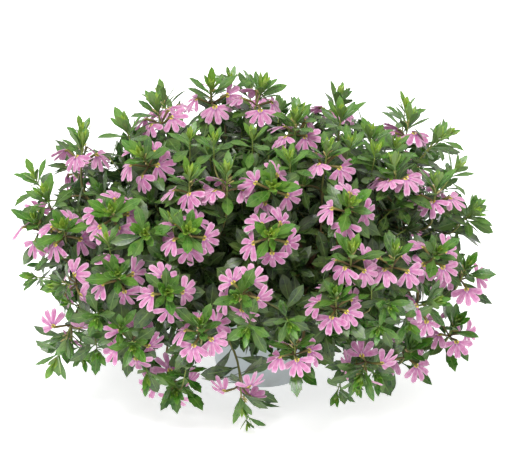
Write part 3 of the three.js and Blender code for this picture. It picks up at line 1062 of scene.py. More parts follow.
class Canopy:
    """Every stem of the plant, with the leafy twigs between them."""

    def __init__(self, rule: PlantRule, stems: list[Stem], rings: list[BloomRing]) -> None:
        """Grow the twigs.

        Args:
            rule: The plant's rule.
            stems: The stems that the solids have.
            rings: The rings of blooms.
        """
        self.rule = rule
        self.stems = stems
        self.twigs: list[Stem] = []
        self.twig_rule = TwigRule()
        self.tufts = [stem.beside(self.twig_rule.tuft_middle) for stem in stems]
        fans = [ring.fan(i) for ring in rings for i in range(ring.count)]
        self.blooms = KDTree(len(fans))
        for i, fan in enumerate(fans):
            self.blooms.insert(blend((fan.root, 1), (fan.along, self.twig_rule.bloom_middle)), i)
        self.blooms.balance()
        self.forks = self._forks()
        self._grow_seen()
        self._grow_between()

    def _forks(self) -> list[tuple[Vector, Vector, int]]:
        """List places on the stems where a twig can leave, with the stem's direction and owner."""
        last = self.twig_rule.last_fork
        shares = [k / last for k in range(self.twig_rule.first_fork, last + 1)]
        return [(stem.point(s), stem.tangent(s), stem.owner) for stem in self.stems for s in shares]

    def _strain(self, fork: tuple[Vector, Vector, int], place: Vector, heading: Vector) -> float:
        """Say how far a fork is from the twig's usual length, and how far it lies ahead of the tuft.

        Args:
            fork: The fork.
            place: Where the tuft stands.
            heading: The tuft's direction.

        Returns:
            The strain, in millimetres.
        """
        rule = self.twig_rule
        gap = fork[0] - place
        back = max(0.0, gap.dot(heading) + rule.ahead)
        return abs(gap.length - rule.usual_length) + rule.ahead_cost * back

    def _add(self, place: Vector, heading: Vector, kind: StemKind) -> None:
        """Grow a twig from the stem that strains it least, of those that lie deeper in the mound.

        Args:
            place: Where its tuft stands.
            heading: The tuft's direction.
            kind: The kind of twig.
        """
        rule = self.twig_rule
        mound = self.rule.mound
        depth = mound.share(place).length - rule.deeper_by
        deeper = [fork for fork in self.forks if mound.share(fork[0]).length < depth]
        nearest = min(deeper or self.forks, key=lambda fork: self._strain(fork, place, heading))
        start, tangent, owner = nearest
        foot = place - heading * rule.straight
        span = (foot - start).length
        leaving = (tangent + (place - start).normalized() * rule.pull).normalized()
        from_start = start + leaving * rule.start_run * span
        to_foot = foot - heading * rule.end_run * span
        shoot = Shoot(rule.first_index + len(self.twigs), place, heading, 0)
        self.twigs.append(Stem(shoot, kind, (start, from_start, to_foot, foot), owner))
        self.tufts.append(place + heading * rule.straight)

    def _grow_seen(self) -> None:
        """Grow the twigs that the photograph shows between the shoots."""
        for right, up, lean_right, lean_up in self.twig_rule.seen:
            heading = self.rule.leaning(lean_right, lean_up)
            place = self.rule.mound.onto(right - lean_right / 2, up - lean_up / 2)
            self._add(place, heading, self.twig_rule.outer.kind)

    def _grow_between(self) -> None:
        """Grow a twig wherever the mound has room for one, first outside and then deeper in."""
        rule = self.twig_rule
        for layer in (rule.outer, rule.inner):
            for k in range(layer.candidates):
                level = 1 - 2 * (k + 0.5) / layer.candidates
                if level < layer.lowest:
                    break
                outward = around(k * GOLDEN_ANGLE, math.sqrt(1 - level * level), level)
                reach = layer.reach + layer.spread * draw(k, 0, Use.TWIG_REACH)
                reach -= rule.flat_top * max(0, level - rule.flat_from)
                place = self.rule.mound.place(outward * reach)
                if self._has_room(place, layer):
                    self._add(place, lifted(outward), layer.kind)

    def _has_room(self, place: Vector, layer: TwigLayer) -> bool:
        """Say whether a twig may stand at a place.

        Args:
            place: The place.
            layer: The twig's layer.

        Returns:
            True where it may.
        """
        rule = self.twig_rule
        if place.z < rule.rim and math.hypot(place.x, place.y) < rule.pot_room:
            return False
        if layer is rule.outer and place.y < 0 and in_window(place, rule.hollows):
            return False
        if in_window(place, rule.free):
            return False
        near_tuft = min((place - tuft).length for tuft in self.tufts)
        return near_tuft >= layer.tuft_room and self.blooms.find(place)[2] >= layer.bloom_room


def ramp(ends: Pair, share: float) -> float:
    """Give a value that starts at the first number and changes by the second over the whole."""
    return ends[0] + ends[1] * share


def clamped(value: float, least: float, most: float) -> float:
    """Keep a value between two others."""
    return max(least, min(most, value))


class TuftKind(Enum):
    """The kinds of tuft, on a stem above its ring of blooms or open from its foot.

    Each gives its lowest leaf's spread in degrees, how far it reaches up the stem in millimetres, and
    the share of that at which it starts.
    """

    ABOVE_RING = (46, 16, 0.3)
    OPEN = (80, 14, 0.0)


@dataclass
class LeafyStem:
    """One leafy stem: its stalks with every leaf, bud and twig on them.

    Lengths are in millimetres and spreads in degrees. A pair gives a value at the start and how far it
    changes to the end, or a middle value and its variation to both sides as a share of it.
    """

    blades: Blades
    canopy: Canopy
    corners: SolidCorners
    stem_slot: int = 2
    bud_slot: int = 3
    toothed: float = 0.65
    width_sway: float = 0.12
    fold: Pair = (0.2, 0.6)
    arch_sway: float = 0.1
    arch_least: float = 0.4
    cup: float = 0.05
    wave: float = 0.14
    twist: float = 0.5
    own_ages: tuple[float, ...] = (1.0, 0.95, 0.75, 0.65, 0.55, 0.45)
    own_broad: int = 3
    own_items: int = 10
    form_items: int = 20
    tuft_leaves: int = 9
    tuft_items: int = 40
    tuft_narrowest: float = 20
    tuft_broad: float = 50
    tuft_spread_sway: float = 10
    tuft_lengths: Pair = (29, -10)
    tuft_length_sway: float = 0.14
    tuft_size_sway: float = 0.12
    tuft_arches: Pair = (0.2, -0.18)
    tuft_ages: Pair = (0.85, -0.4)
    tuft_off: float = 0.6
    young_leaves: int = 8
    young_items: int = 60
    young_below: float = 4
    young_reach: float = 5
    young_spreads: Pair = (34, -24)
    young_lengths: Pair = (16, -7)
    young_length_sway: float = 0.15
    young_arch: float = -0.08
    young_ages: Pair = (0.3, -0.3)
    young_off: float = 0.5
    bend_from: float = 0.24
    bend_gap: float = 8.5
    twig_from: float = 0.25
    bend_items: int = 80
    bend_spread: Pair = (68, 0.2)
    bend_length: Pair = (32, 0.2)
    bend_arch: float = 0.18
    bend_off: float = 0.7
    bend_pull: float = 0.8
    under_items: int = 130
    under_gaps: Pair = (-3, -1.5)
    under_turn: float = 0.5
    under_spread: float = 84
    under_length: Pair = (27, 0.15)
    under_arch: float = 0.22
    under_age: float = 0.9
    under_off: float = 1.1
    buds: int = 4
    bud_gaps: Pair = (6, 2.2)
    bud_spreads: Pair = (24, 30)
    bud_length: Pair = (3.2, 0.25)
    bud_half_width: float = 0.75
    bud_half_depth: float = 0.85
    bud_off: float = 0.8
    bud_age: float = 0.5
    # Painted shade on the leaves: darker deep in the mound and low down, lighter high up.
    shade_from: float = 1.01
    shade_level: float = 212
    shade_slope: float = 0.0035
    shade_span: Pair = (-0.3, 0.13)
    shade_depth: float = 0.28
    floor_room: float = 3
    pot_top: float = 114
    pot_reach: float = 67
    bloom_gap: float = 8.5
    leaves: int = 0
    sprig: Sprig = field(init=False)
    whole: Sprig = field(default_factory=Sprig)

    def _shade(self, root: Vector) -> float:
        """Say how much painted shade a leaf gets from where it grows: 0 outside the mound, 1 deep in it,
        less high up and more low down.
        """
        depth = self.canopy.rule.mound.share(root).length
        lower = clamped((self.shade_level - root.z) * self.shade_slope, *self.shade_span)
        return clamped((self.shade_from + lower - depth) / self.shade_depth, 0.0, 1.0)

    def _leaf(
        self,
        seed: tuple[Shoot, int],
        form: LeafForm,
        bearings: Bearings,
        length: float,
        arch: float,
        age: float,
    ) -> None:
        """Add one leaf with its own small differences, unless it would reach the floor or hide the pot.

        Args:
            seed: The shoot and the leaf's counter, by which its differences are drawn.
            form: Its outline.
            bearings: Where it grows.
            length: Its length.
            arch: How far its tip bends down, as a share of the length.
            age: Its age.
        """
        shoot, item = seed
        tip = bearings.tip(length, arch + self.arch_sway)
        if tip.z < self.floor_room or item >= self.own_items and self._is_in_the_way(tip):
            return
        # Painted shade: below, it pushes the leaf's tone and age towards 1, which the leaf finish turns
        # cooler and near black.
        shade = self._shade(bearings.root)
        half_width = length * form.value.half_share
        lie = BladeLie(
            length=length,
            half_width=half_width * shoot.vary(1, self.width_sway, item, Use.LEAF_WIDTH),
            fold=shoot.vary(*self.fold, item, Use.LEAF_FOLD),
            arch=arch + self.arch_sway * (shoot.draw(item, Use.LEAF_ARCH) - self.arch_least),
            cup=self.cup,
            wave=self.wave * shoot.draw(item, Use.LEAF_WAVE),
            twist=shoot.sway(self.twist, item, Use.LEAF_TWIST),
            tone=shoot.draw(item, Use.LEAF_TONE) * (1 - shade) + shade,
            age=age * (1 - shade) + shade,
        )
        self.sprig.blade(self.blades.leaves[form], bearings, lie)
        self.leaves += 1

    def _is_in_the_way(self, tip: Vector) -> bool:
        """Say whether a leaf's tip would cut the pot or a bloom, or lie where none is seen."""
        if tip.z < self.pot_top and math.hypot(tip.x, tip.y) < self.pot_reach:
            return True
        if self.canopy.blooms.find(tip)[2] < self.bloom_gap:
            return True
        return in_window(tip, self.canopy.twig_rule.free)

    def _form(self, broad: bool, shoot: Shoot, item: int, use: Use) -> LeafForm:
        """Choose a leaf's outline: broad or slim, and toothed or not."""
        toothed = shoot.draw(item, use) < self.toothed
        if broad:
            return LeafForm.BROAD if toothed else LeafForm.ENTIRE
        return LeafForm.SLIM if toothed else LeafForm.LANCE

    def _own_leaves(self, stem: Stem) -> None:
        """Add the leaves that the stem's solid has."""
        shoot = stem.shoot
        for order, age in enumerate(self.own_ages):
            found = self.canopy.rule.leaf_on(stem, order, self.corners)
            if found:
                bearings, row = found
                form = self._form(order < self.own_broad, shoot, self.form_items + order, Use.TUFT_FORM)
                self._leaf((shoot, order), form, bearings, row.length, row.arch, age)

    def _tuft(self, stem: Stem, kind: TuftKind, size: float, count: int) -> None:
        """Add a tuft's further leaves, from broad ones at its foot to slim ones at its tip.

        Args:
            stem: The stem that ends in the tuft.
            kind: The kind of tuft.
            size: The leaves' size, as a share of the usual one.
            count: How many there are.
        """
        shoot = stem.shoot
        widest, reach, low = kind.value
        first = FULL_TURN * shoot.draw(1, Use.FIRST_TURN)
        for k in range(count):
            share = k / (count - 1)
            turn = first + k * GOLDEN_ANGLE
            sway = shoot.sway(self.tuft_spread_sway, k, Use.TUFT_SPREAD)
            spread = (widest + (self.tuft_narrowest - widest) * share + sway) * DEGREE
            usual = ramp(self.tuft_lengths, share)
            length = size * shoot.vary(usual, self.tuft_length_sway, k, Use.TUFT_LENGTH)
            place = stem.beside(reach * (low + (1 - low) * share))
            bearings = leaf_bearings(place, shoot.heading, turn, self.tuft_off, spread)
            form = self._form(spread > self.tuft_broad * DEGREE, shoot, k, Use.TUFT_FORM)
            arch, age = ramp(self.tuft_arches, share), ramp(self.tuft_ages, share)
            self._leaf((shoot, self.tuft_items + k), form, bearings, length, arch, age)

    def _young(self, stem: Stem, count: int, past: float) -> None:
        """Add the young leaves in the middle of a tuft.

        Args:
            stem: The stem that ends in the tuft.
            count: How many there are.
            past: How far past the ring of blooms they stand.
        """
        shoot = stem.shoot
        first = FULL_TURN * shoot.draw(2, Use.FIRST_TURN)
        for k in range(count):
            share = k / (count - 1)
            turn = first + k * GOLDEN_ANGLE
            spread = ramp(self.young_spreads, share) * DEGREE
            usual = ramp(self.young_lengths, share)
            length = shoot.vary(usual, self.young_length_sway, k, Use.YOUNG_LENGTH)
            place = stem.beside(past - self.young_below + self.young_reach * share)
            bearings = leaf_bearings(place, shoot.heading, turn, self.young_off, spread)
            seed = (shoot, self.young_items + k)
            age = ramp(self.young_ages, share)
            self._leaf(seed, LeafForm.YOUNG, bearings, length, self.young_arch, age)

    def _up_the_bend(self, stem: Stem, first_share: float, gap: float) -> None:
        """Add the leaves along a stem's bend, their faces turned to the light.

        Args:
            stem: The stem.
            first_share: Where on the bend they begin.
            gap: The distance between two of them.
        """
        count = int(stem.length() * (1 - first_share) / gap)
        shoot = stem.shoot
        first = FULL_TURN * shoot.draw(3, Use.FIRST_TURN)
        for k in range(count):
            share = first_share + (1 - first_share) * (k + 0.5) / count
            turn = first + k * GOLDEN_ANGLE
            spread = shoot.vary(*self.bend_spread, k, Use.BEND_SPREAD) * DEGREE
            bearings = leaf_bearings(stem.point(share), stem.tangent(share), turn, self.bend_off, spread)
            bearings = bearings.facing(UP, self.bend_pull)
            length = shoot.vary(*self.bend_length, k, Use.BEND_LENGTH)
            form = self._form(True, shoot, k, Use.BEND_FORM)
            # The bend's leaves take the oldest age; their near-black green is partly real age and partly
            # painted shade inside the mound.
            self._leaf((shoot, self.bend_items + k), form, bearings, length, self.bend_arch, 1.0)

    def _under_blooms(self, ring: BloomRing) -> None:
        """Add the leaf below each bloom of a ring."""
        shoot = ring.stem.shoot
        spread = self.under_spread * DEGREE
        for i in range(ring.count):
            turn = ring.angle(i) + shoot.sway(self.under_turn, i, Use.UNDER_TURN) + math.pi / ring.count
            place = ring.stem.beside(ramp(self.under_gaps, i))
            bearings = leaf_bearings(place, shoot.heading, turn, self.under_off, spread)
            length = shoot.vary(*self.under_length, i, Use.UNDER_LENGTH)
            seed = (shoot, self.under_items + i)
            self._leaf(seed, LeafForm.ENTIRE, bearings, length, self.under_arch, self.under_age)

    def _add_buds(self, stem: Stem) -> None:
        """Add the flower buds between a tuft's lower leaves."""
        shoot = stem.shoot
        for k in range(self.buds):
            turn = FULL_TURN * shoot.draw(k, Use.BUD_TURN)
            spread = ramp(self.bud_spreads, shoot.draw(k, Use.BUD_SPREAD)) * DEGREE
            place = stem.beside(ramp(self.bud_gaps, k))
            bearings = leaf_bearings(place, shoot.heading, turn, self.bud_off, spread)
            length = shoot.vary(*self.bud_length, k, Use.BUD_LENGTH)
            sizes = Vector((length, self.bud_half_width, self.bud_half_depth))
            self.sprig.pip(bearings, sizes, self.bud_slot, shoot.draw(k, Use.BUD_TONE), self.bud_age)

    def add_stem(self, stem: Stem, ring: BloomRing | None) -> None:
        """Add one of the solid's own stems with its leaves.

        Args:
            stem: The stem.
            ring: Its ring of blooms, if it has one.
        """
        self.sprig = Sprig()
        path = Path.up_stem(stem, past=17, tip_radius=0.7, steps=12)
        self.sprig.stalk(path, self.stem_slot, sides=8, age=1.0)
        self._own_leaves(stem)
        if ring:
            self._tuft(stem, TuftKind.ABOVE_RING, 0.85, self.tuft_leaves - self.own_broad)
        else:
            self._tuft(stem, TuftKind.OPEN, 1.0, self.tuft_leaves)
        self._young(stem, self.young_leaves, past=18)
        self._up_the_bend(stem, self.bend_from, self.bend_gap)
        if ring:
            self._under_blooms(ring)
            self._add_buds(stem)
        self.whole.take(self.sprig)

    def add_twig(self, twig: Stem) -> None:
        """Add one leafy twig, with fewer and larger leaves where it stands deep in the mound."""
        rule = self.canopy.twig_rule
        layer = rule.inner if twig.kind is rule.inner.kind else rule.outer
        self.sprig = Sprig()
        path = Path.up_stem(twig, past=13, tip_radius=0.5, steps=6)
        self.sprig.stalk(path, self.stem_slot, sides=5, age=0.8)
        self._up_the_bend(twig, self.twig_from, layer.leaf_gap)
        size = twig.shoot.vary(layer.leaf_size, self.tuft_size_sway, 0, Use.TUFT_SIZE)
        self._tuft(twig, TuftKind.OPEN, size, layer.tuft_leaves)
        self._young(twig, layer.young_leaves, past=15)
        self.whole.take(self.sprig)


@dataclass
class Whorl:
    """One ring of blooms: tubes, five-petalled fans and styles, in millimetres."""

    blades: Blades
    ring: BloomRing
    lengths: Pair = (0.94, 0.12)
    end_more: float = 0.04
    inside: float = 0.8
    more: float = 2.2
    overlap: float = 0.25
    half_width: Pair = (3.05, 0.08)
    thickness: float = 0.3
    closer: float = 0.98
    jitter: float = 7 * DEGREE
    folds: Pair = (0.1, 0.14)
    arches: Pair = (0.12, 0.2)
    arch_sway: float = 0.1
    cup: float = 0.12
    wave: float = 0.16
    twist: float = 0.6
    notched: float = 0.4
    tube_slot: int = 1
    tube_radii: tuple[float, ...] = (0.75, 1.0, 1.35, 1.1)
    style_slot: int = 2
    style_radii: tuple[float, ...] = (0.3, 0.34, 0.5)
    sprig: Sprig = field(default_factory=Sprig)

    def build(self) -> Sprig:
        """Model the ring's blooms."""
        for i in range(self.ring.count):
            fan = self.ring.fan(i)
            for petal in range(self.ring.sizes.petals):
                self._petal(i, petal, fan)
            self._tube(i, fan)
            self._style(fan)
        return self.sprig

    def _petal(self, i: int, petal: int, fan: Bearings) -> None:
        """Model one petal.

        Args:
            i: The bloom's counter on the ring.
            petal: The petal's counter on the bloom.
            fan: The bloom's bearings.
        """
        sizes = self.ring.sizes
        shoot = self.ring.stem.shoot
        item = i * 10 + petal
        jitter = self.jitter * (shoot.draw(item, Use.PETAL_TURN) - 0.5)
        spread = (petal - (sizes.petals - 1) / 2) * sizes.spacing * self.closer + jitter
        along = blend((fan.along, math.cos(spread)), (fan.across, math.sin(spread)))
        across = blend((fan.along, -math.sin(spread)), (fan.across, math.cos(spread)))
        root = fan.root + fan.face * (self.overlap * (petal % 2)) - fan.along * self.inside
        end = petal in (0, sizes.petals - 1)
        length = sizes.length * ramp(self.lengths, shoot.draw(i, Use.BLOOM_LENGTH))
        arch = ramp(self.arches, shoot.draw(i, Use.BLOOM_ARCH))
        lie = BladeLie(
            length=length * (sizes.outer + self.end_more if end else 1) + self.more,
            half_width=shoot.vary(*self.half_width, item, Use.PETAL_WIDTH),
            thickness=self.thickness,
            fold=ramp(self.folds, shoot.draw(item, Use.PETAL_FOLD)),
            arch=arch + shoot.sway(self.arch_sway, item, Use.PETAL_ARCH),
            cup=self.cup,
            wave=self.wave * shoot.draw(item, Use.PETAL_WAVE),
            twist=shoot.sway(self.twist, item, Use.PETAL_TWIST),
            tone=shoot.draw(i, Use.BLOOM_TONE),
            age=shoot.draw(i, Use.BLOOM_AGE),
        )
        notched = shoot.draw(item, Use.PETAL_FORM) < self.notched
        form = PetalForm.NOTCHED if notched else PetalForm.BLUNT
        self.sprig.blade(self.blades.petals[form], Bearings(root, along, across, fan.face), lie)

    def _tube(self, i: int, fan: Bearings) -> None:
        """Model a bloom's tube, from inside the stem to just past the fan's throat."""
        shoot = self.ring.stem.shoot
        radial = radial_at(shoot.heading, self.ring.angle(i))
        inside = self.ring.stem.kind.radius * 0.6
        start = blend((shoot.place, 1), (radial, inside), (shoot.heading, -1.2))
        middle = blend((shoot.place, 1), (radial, 5.5), (shoot.heading, 1.3))
        mouth = fan.root - fan.along * 1.6
        end = fan.root + fan.along * 0.9 - fan.face * 0.2
        tube = Path([start, middle, mouth, end], list(self.tube_radii))
        self.sprig.stalk(tube, self.tube_slot, sides=7, age=1.0)

    def _style(self, fan: Bearings) -> None:
        """Model a bloom's style, which bends out of the throat."""
        lift = blend((fan.root, 1), (fan.face, 1.7), (fan.along, 0.6))
        tip = blend((fan.root, 1), (fan.face, 2.1), (fan.along, 3.6))
        style = Path([fan.root, lift, tip], list(self.style_radii))
        self.sprig.stalk(style, self.style_slot, sides=5, age=1.0)


Socket = bpy.types.NodeSocket
Tint = tuple[float, float, float]


def tint(red: float, green: float, blue: float) -> Tint:
    """Turn a colour as seen on a screen, 0 to 255, into the light from 0 to 1 that it stands for."""
    shares = (value / 255 for value in (red, green, blue))
    return tuple(s / 12.92 if s <= 0.04045 else ((s + 0.055) / 1.055) ** 2.4 for s in shares)


@dataclass
class NodeSheet:
    """A node tree that is filled step by step."""

    tree: bpy.types.NodeTree

    def put(self, socket: Socket, value: Socket | float | tuple) -> None:
        """Link a socket, or set its value.

        Args:
            socket: The socket that is fed.
            value: Another node's socket, a number or a colour.
        """
        if isinstance(value, Socket):
            self.tree.links.new(value, socket)
        elif isinstance(value, tuple) and len(value) == 3 and len(socket.default_value) == 4:
            socket.default_value = (*value, 1)
        else:
            socket.default_value = value

    def add(
        self,
        kind: str,
        inputs: dict[str | int, Socket | float | tuple],
        **settings: str | float | bool,
    ) -> bpy.types.Node:
        """Add a node.

        Args:
            kind: Blender's name of the node's type.
            inputs: What goes into its sockets.
            settings: Its own settings.

        Returns:
            The node.
        """
        node = self.tree.nodes.new(kind)
        for key, value in settings.items():
            setattr(node, key, value)
        for key, value in inputs.items():
            self.put(node.inputs[key], value)
        return node

    def math(self, operation: str, *values: Socket | float) -> Socket:
        """Work out one step with one to three numbers."""
        return self.add("ShaderNodeMath", dict(enumerate(values)), operation=operation).outputs[0]

    def rest(self, value: Socket) -> Socket:
        """Give what is left of one after a value."""
        return self.math("SUBTRACT", 1, value)

    def step(self, value: Socket, low: float, high: float) -> Socket:
        """Rise smoothly from 0 at one value to 1 at another."""
        inputs = {"Value": value, "From Min": low, "From Max": high}
        return self.add("ShaderNodeMapRange", inputs, interpolation_type="SMOOTHSTEP").outputs[0]

    def mix(self, share: Socket | float, first: Socket | tuple, second: Socket | tuple) -> Socket:
        """Mix two colours, from the first at 0 to the second at 1."""
        node = self.add("ShaderNodeMix", {0: share, 6: first, 7: second}, data_type="RGBA")
        return node.outputs[2]

    def lay(self, under: Socket | tuple, over: Socket | tuple, mask: Socket, most: float) -> Socket:
        """Lay one colour over another where a mask says so, up to a share of it."""
        return self.mix(self.math("MULTIPLY", mask, most), under, over)

    def attribute(self, name: str) -> Socket:
        """Read a number that the piece holds at its points."""
        return self.add("ShaderNodeAttribute", {}, attribute_name=name).outputs["Fac"]

    def group(self, tree: bpy.types.NodeTree, **values: float) -> bpy.types.Node:
        """Place a shared effect with its own values.

        Args:
            tree: The effect's node group.
            values: The values of its inputs, with underscores for the spaces in their names.

        Returns:
            The group node.
        """
        node = self.tree.nodes.new("ShaderNodeGroup")
        node.node_tree = tree
        for key, value in values.items():
            node.inputs[key.replace("_", " ").title()].default_value = value
        return node


class Effects:
    """The effects that more than one finish uses, as node groups that are built once."""

    def __init__(self) -> None:
        """Build the groups."""
        self.mottle = self._mottle()
        self.blade = self._blade()

    @staticmethod
    def _open(
        name: str, inputs: dict[str, float], outputs: tuple[str, ...]
    ) -> tuple[NodeSheet, bpy.types.Node, bpy.types.Node]:
        """Make an empty group with its sockets.

        Args:
            name: The group's name.
            inputs: The inputs and their usual values.
            outputs: The outputs.

        Returns:
            The sheet, its input node and its output node.
        """
        tree = bpy.data.node_groups.new(name, "ShaderNodeTree")
        for key, value in inputs.items():
            socket = tree.interface.new_socket(key, in_out="INPUT", socket_type="NodeSocketFloat")
            socket.default_value = value
        for key in outputs:
            tree.interface.new_socket(key, in_out="OUTPUT", socket_type="NodeSocketFloat")
        sheet = NodeSheet(tree)
        return sheet, tree.nodes.new("NodeGroupInput"), tree.nodes.new("NodeGroupOutput")

    def _mottle(self) -> bpy.types.NodeTree:
        """Build the mottle: broad patches and fine grain that vary over the surface."""
        sheet, given, put_out = self._open("mottle", {"Patches": 60, "Grain": 900}, ("Patch", "Speck"))
        place = sheet.add("ShaderNodeTexCoord", {}).outputs["Object"]
        for name, output, detail in (("Patches", "Patch", 3), ("Grain", "Speck", 2)):
            inputs = {"Vector": place, "Scale": given.outputs[name], "Detail": detail}
            pattern = sheet.add("ShaderNodeTexNoise", inputs).outputs["Fac"]
            sheet.put(put_out.inputs[output], sheet.step(pattern, 0.3, 0.7))
        return sheet.tree

    def _blade(self) -> bpy.types.NodeTree:
        """Build the blade's pattern: its midrib, its slanting side veins and its margin."""
        inputs = {"Rib": 0.12, "Veins": 6, "Slant": 0.35}
        outputs = ("Midrib", "Vein", "Margin", "Along")
        sheet, given, put_out = self._open("blade_pattern", inputs, outputs)
        own = sheet.add("ShaderNodeUVMap", {}, uv_map="blade").outputs[0]
        parts = sheet.add("ShaderNodeSeparateXYZ", {0: own})
        across = sheet.math("ABSOLUTE", sheet.math("MULTIPLY_ADD", parts.outputs[0], 2.0, -1.0))
        along = parts.outputs[1]
        narrow = sheet.math("MULTIPLY", given.outputs["Rib"], sheet.math("SUBTRACT", 1.3, along))
        near = sheet.math("DIVIDE", across, narrow)
        midrib = sheet.rest(sheet.step(near, 0.35, 1.0))
        slanted = sheet.math("SUBTRACT", along, sheet.math("MULTIPLY", across, given.outputs["Slant"]))
        turns = sheet.math("MULTIPLY", slanted, sheet.math("MULTIPLY", given.outputs["Veins"], FULL_TURN))
        vein = sheet.step(sheet.math("SINE", turns), 0.82, 1.0)
        fading = sheet.rest(sheet.step(across, 0.55, 0.95))
        sheet.put(put_out.inputs["Midrib"], midrib)
        sheet.put(put_out.inputs["Vein"], sheet.math("MULTIPLY", vein, fading))
        sheet.put(put_out.inputs["Margin"], sheet.step(across, 0.72, 1.0))
        sheet.put(put_out.inputs["Along"], along)
        return sheet.tree


class Coat:
    """A material with one Principled shader, set up from the shader's own values."""

    def __init__(self, name: str, values: dict[str, float]) -> None:
        """Start the material.

        Args:
            name: The material's name.
            values: The shader's values that are the same all over.
        """
        self.material = bpy.data.materials.new(name)
        self.material.use_nodes = True
        self.sheet = NodeSheet(self.material.node_tree)
        self.shader = self.material.node_tree.nodes["Principled BSDF"]
        for key, value in values.items():
            self.sheet.put(self.shader.inputs[key], value)

    def colour(self, value: Socket) -> None:
        """Feed the shader's colour."""
        self.sheet.put(self.shader.inputs["Base Color"], value)

    def let_through(self, share: float, reach: float, radius: tuple[float, float, float]) -> None:
        """Let a share of the light pass through the thin blade, over a reach in metres."""
        self.shader.inputs["Subsurface Weight"].default_value = share
        self.shader.inputs["Subsurface Scale"].default_value = reach
        self.shader.inputs["Subsurface Radius"].default_value = radius

    def rough(self, value: Socket, low: float, high: float) -> None:
        """Vary the roughness between two values."""
        inputs = {"Value": value, "To Min": low, "To Max": high}
        spread = self.sheet.add("ShaderNodeMapRange", inputs).outputs[0]
        self.sheet.put(self.shader.inputs["Roughness"], spread)

    def relief(self, height: Socket, strength: float, depth: float) -> None:
        """Raise the surface by a height, over a depth in metres."""
        inputs = {"Height": height, "Strength": strength, "Distance": depth}
        bump = self.sheet.add("ShaderNodeBump", inputs)
        self.sheet.put(self.shader.inputs["Normal"], bump.outputs[0])


class Dressing:
    """What all finishes share: the making of a material from the shader's even values and a pattern."""

    shine: dict[str, float]

    def paint(self, coat: Coat, effects: Effects) -> None:
        """Lay on the pattern, which each finish has of its own."""
        raise NotImplementedError

    def dress(self, name: str, effects: Effects) -> bpy.types.Material:
        """Make the material of this name with the shared effects."""
        coat = Coat(name, self.shine)
        self.paint(coat, effects)
        return coat.material


@dataclass(frozen=True)
class LeafFinish(Dressing):
    """One side of the leaves: soft green, younger ones yellower, old ones and those in painted shade near
    black, with paler veins.
    """

    shine = {"Specular IOR Level": 0.45}
    mature: Tint
    cool: Tint
    # Near-black green of old leaves and of painted shade.
    dark: Tint
    young: Tint
    rib: Tint
    rib_share: float
    gloss: Pair

    def paint(self, coat: Coat, effects: Effects) -> None:
        """Lay on the greens by age and painted shade, the veins and their relief."""
        coat.let_through(0.3, 0.002, (0.5, 1.0, 0.3))
        sheet = coat.sheet
        pattern = sheet.group(effects.blade, rib=0.14, veins=5.5, slant=0.4)
        mottle = sheet.group(effects.mottle, patches=140, grain=1500)
        midrib, vein = pattern.outputs["Midrib"], pattern.outputs["Vein"]
        patch, speck = mottle.outputs["Patch"], mottle.outputs["Speck"]
        age = sheet.attribute("age")
        tone = sheet.attribute("tone")
        grown = sheet.lay(self.mature, self.cool, sheet.step(tone, 0.4, 1.0), 0.6)
        colour = sheet.mix(sheet.step(age, 0.0, 0.62), self.young, grown)
        # Painted shade: old leaves, and those that lie deep or low in the mound, turn to the near-black
        # green, more so with a high tone.
        deeper = sheet.math("MULTIPLY_ADD", tone, 0.6, 0.4)
        colour = sheet.mix(sheet.math("MULTIPLY", sheet.step(age, 0.6, 1.0), deeper), colour, self.dark)
        colour = sheet.lay(colour, self.young, patch, 0.16)
        colour = sheet.lay(colour, self.rib, vein, self.rib_share * 0.35)
        coat.colour(sheet.lay(colour, self.rib, midrib, self.rib_share))
        coat.rough(patch, *self.gloss)
        lines = sheet.math("MAXIMUM", midrib, sheet.math("MULTIPLY", vein, 0.6))
        height = sheet.math("SUBTRACT", sheet.math("MULTIPLY", speck, 0.3), lines)
        coat.relief(height, 0.5, 0.0003)


@dataclass(frozen=True)
class PetalFinish(Dressing):
    """The petals: pink with a deeper midline, paler margins, and violet over cream at the throat."""

    shine = {"Specular IOR Level": 0.2, "Sheen Weight": 0.15, "Sheen Roughness": 0.5}
    pink: Tint
    pale: Tint
    deep: Tint
    line: Tint
    violet: Tint
    cream: Tint

    def paint(self, coat: Coat, effects: Effects) -> None:
        """Lay on the pinks, the midline, the throat and the ridges."""
        coat.let_through(0.5, 0.003, (1.0, 0.72, 0.9))
        sheet = coat.sheet
        pattern = sheet.group(effects.blade, rib=0.3, veins=14, slant=0.1)
        mottle = sheet.group(effects.mottle, patches=260, grain=2400)
        midrib, along = pattern.outputs["Midrib"], pattern.outputs["Along"]
        patch, speck = mottle.outputs["Patch"], mottle.outputs["Speck"]
        body = sheet.mix(sheet.attribute("tone"), self.deep, self.pink)
        body = sheet.lay(body, self.pale, patch, 0.3)
        body = sheet.lay(body, self.pale, pattern.outputs["Margin"], 0.6)
        body = sheet.lay(body, self.pale, sheet.step(along, 0.8, 1.0), 0.4)
        body = sheet.lay(body, self.line, midrib, 0.45)
        body = sheet.lay(body, self.violet, sheet.rest(sheet.step(along, 0.14, 0.36)), 0.7)
        heart = sheet.rest(sheet.step(along, 0.1, 0.19))
        coat.colour(sheet.mix(heart, body, self.cream))
        coat.rough(speck, 0.5, 0.68)
        ridges = sheet.math("SUBTRACT", sheet.math("MULTIPLY", speck, 0.3), midrib)
        coat.relief(ridges, 0.5, 0.0002)


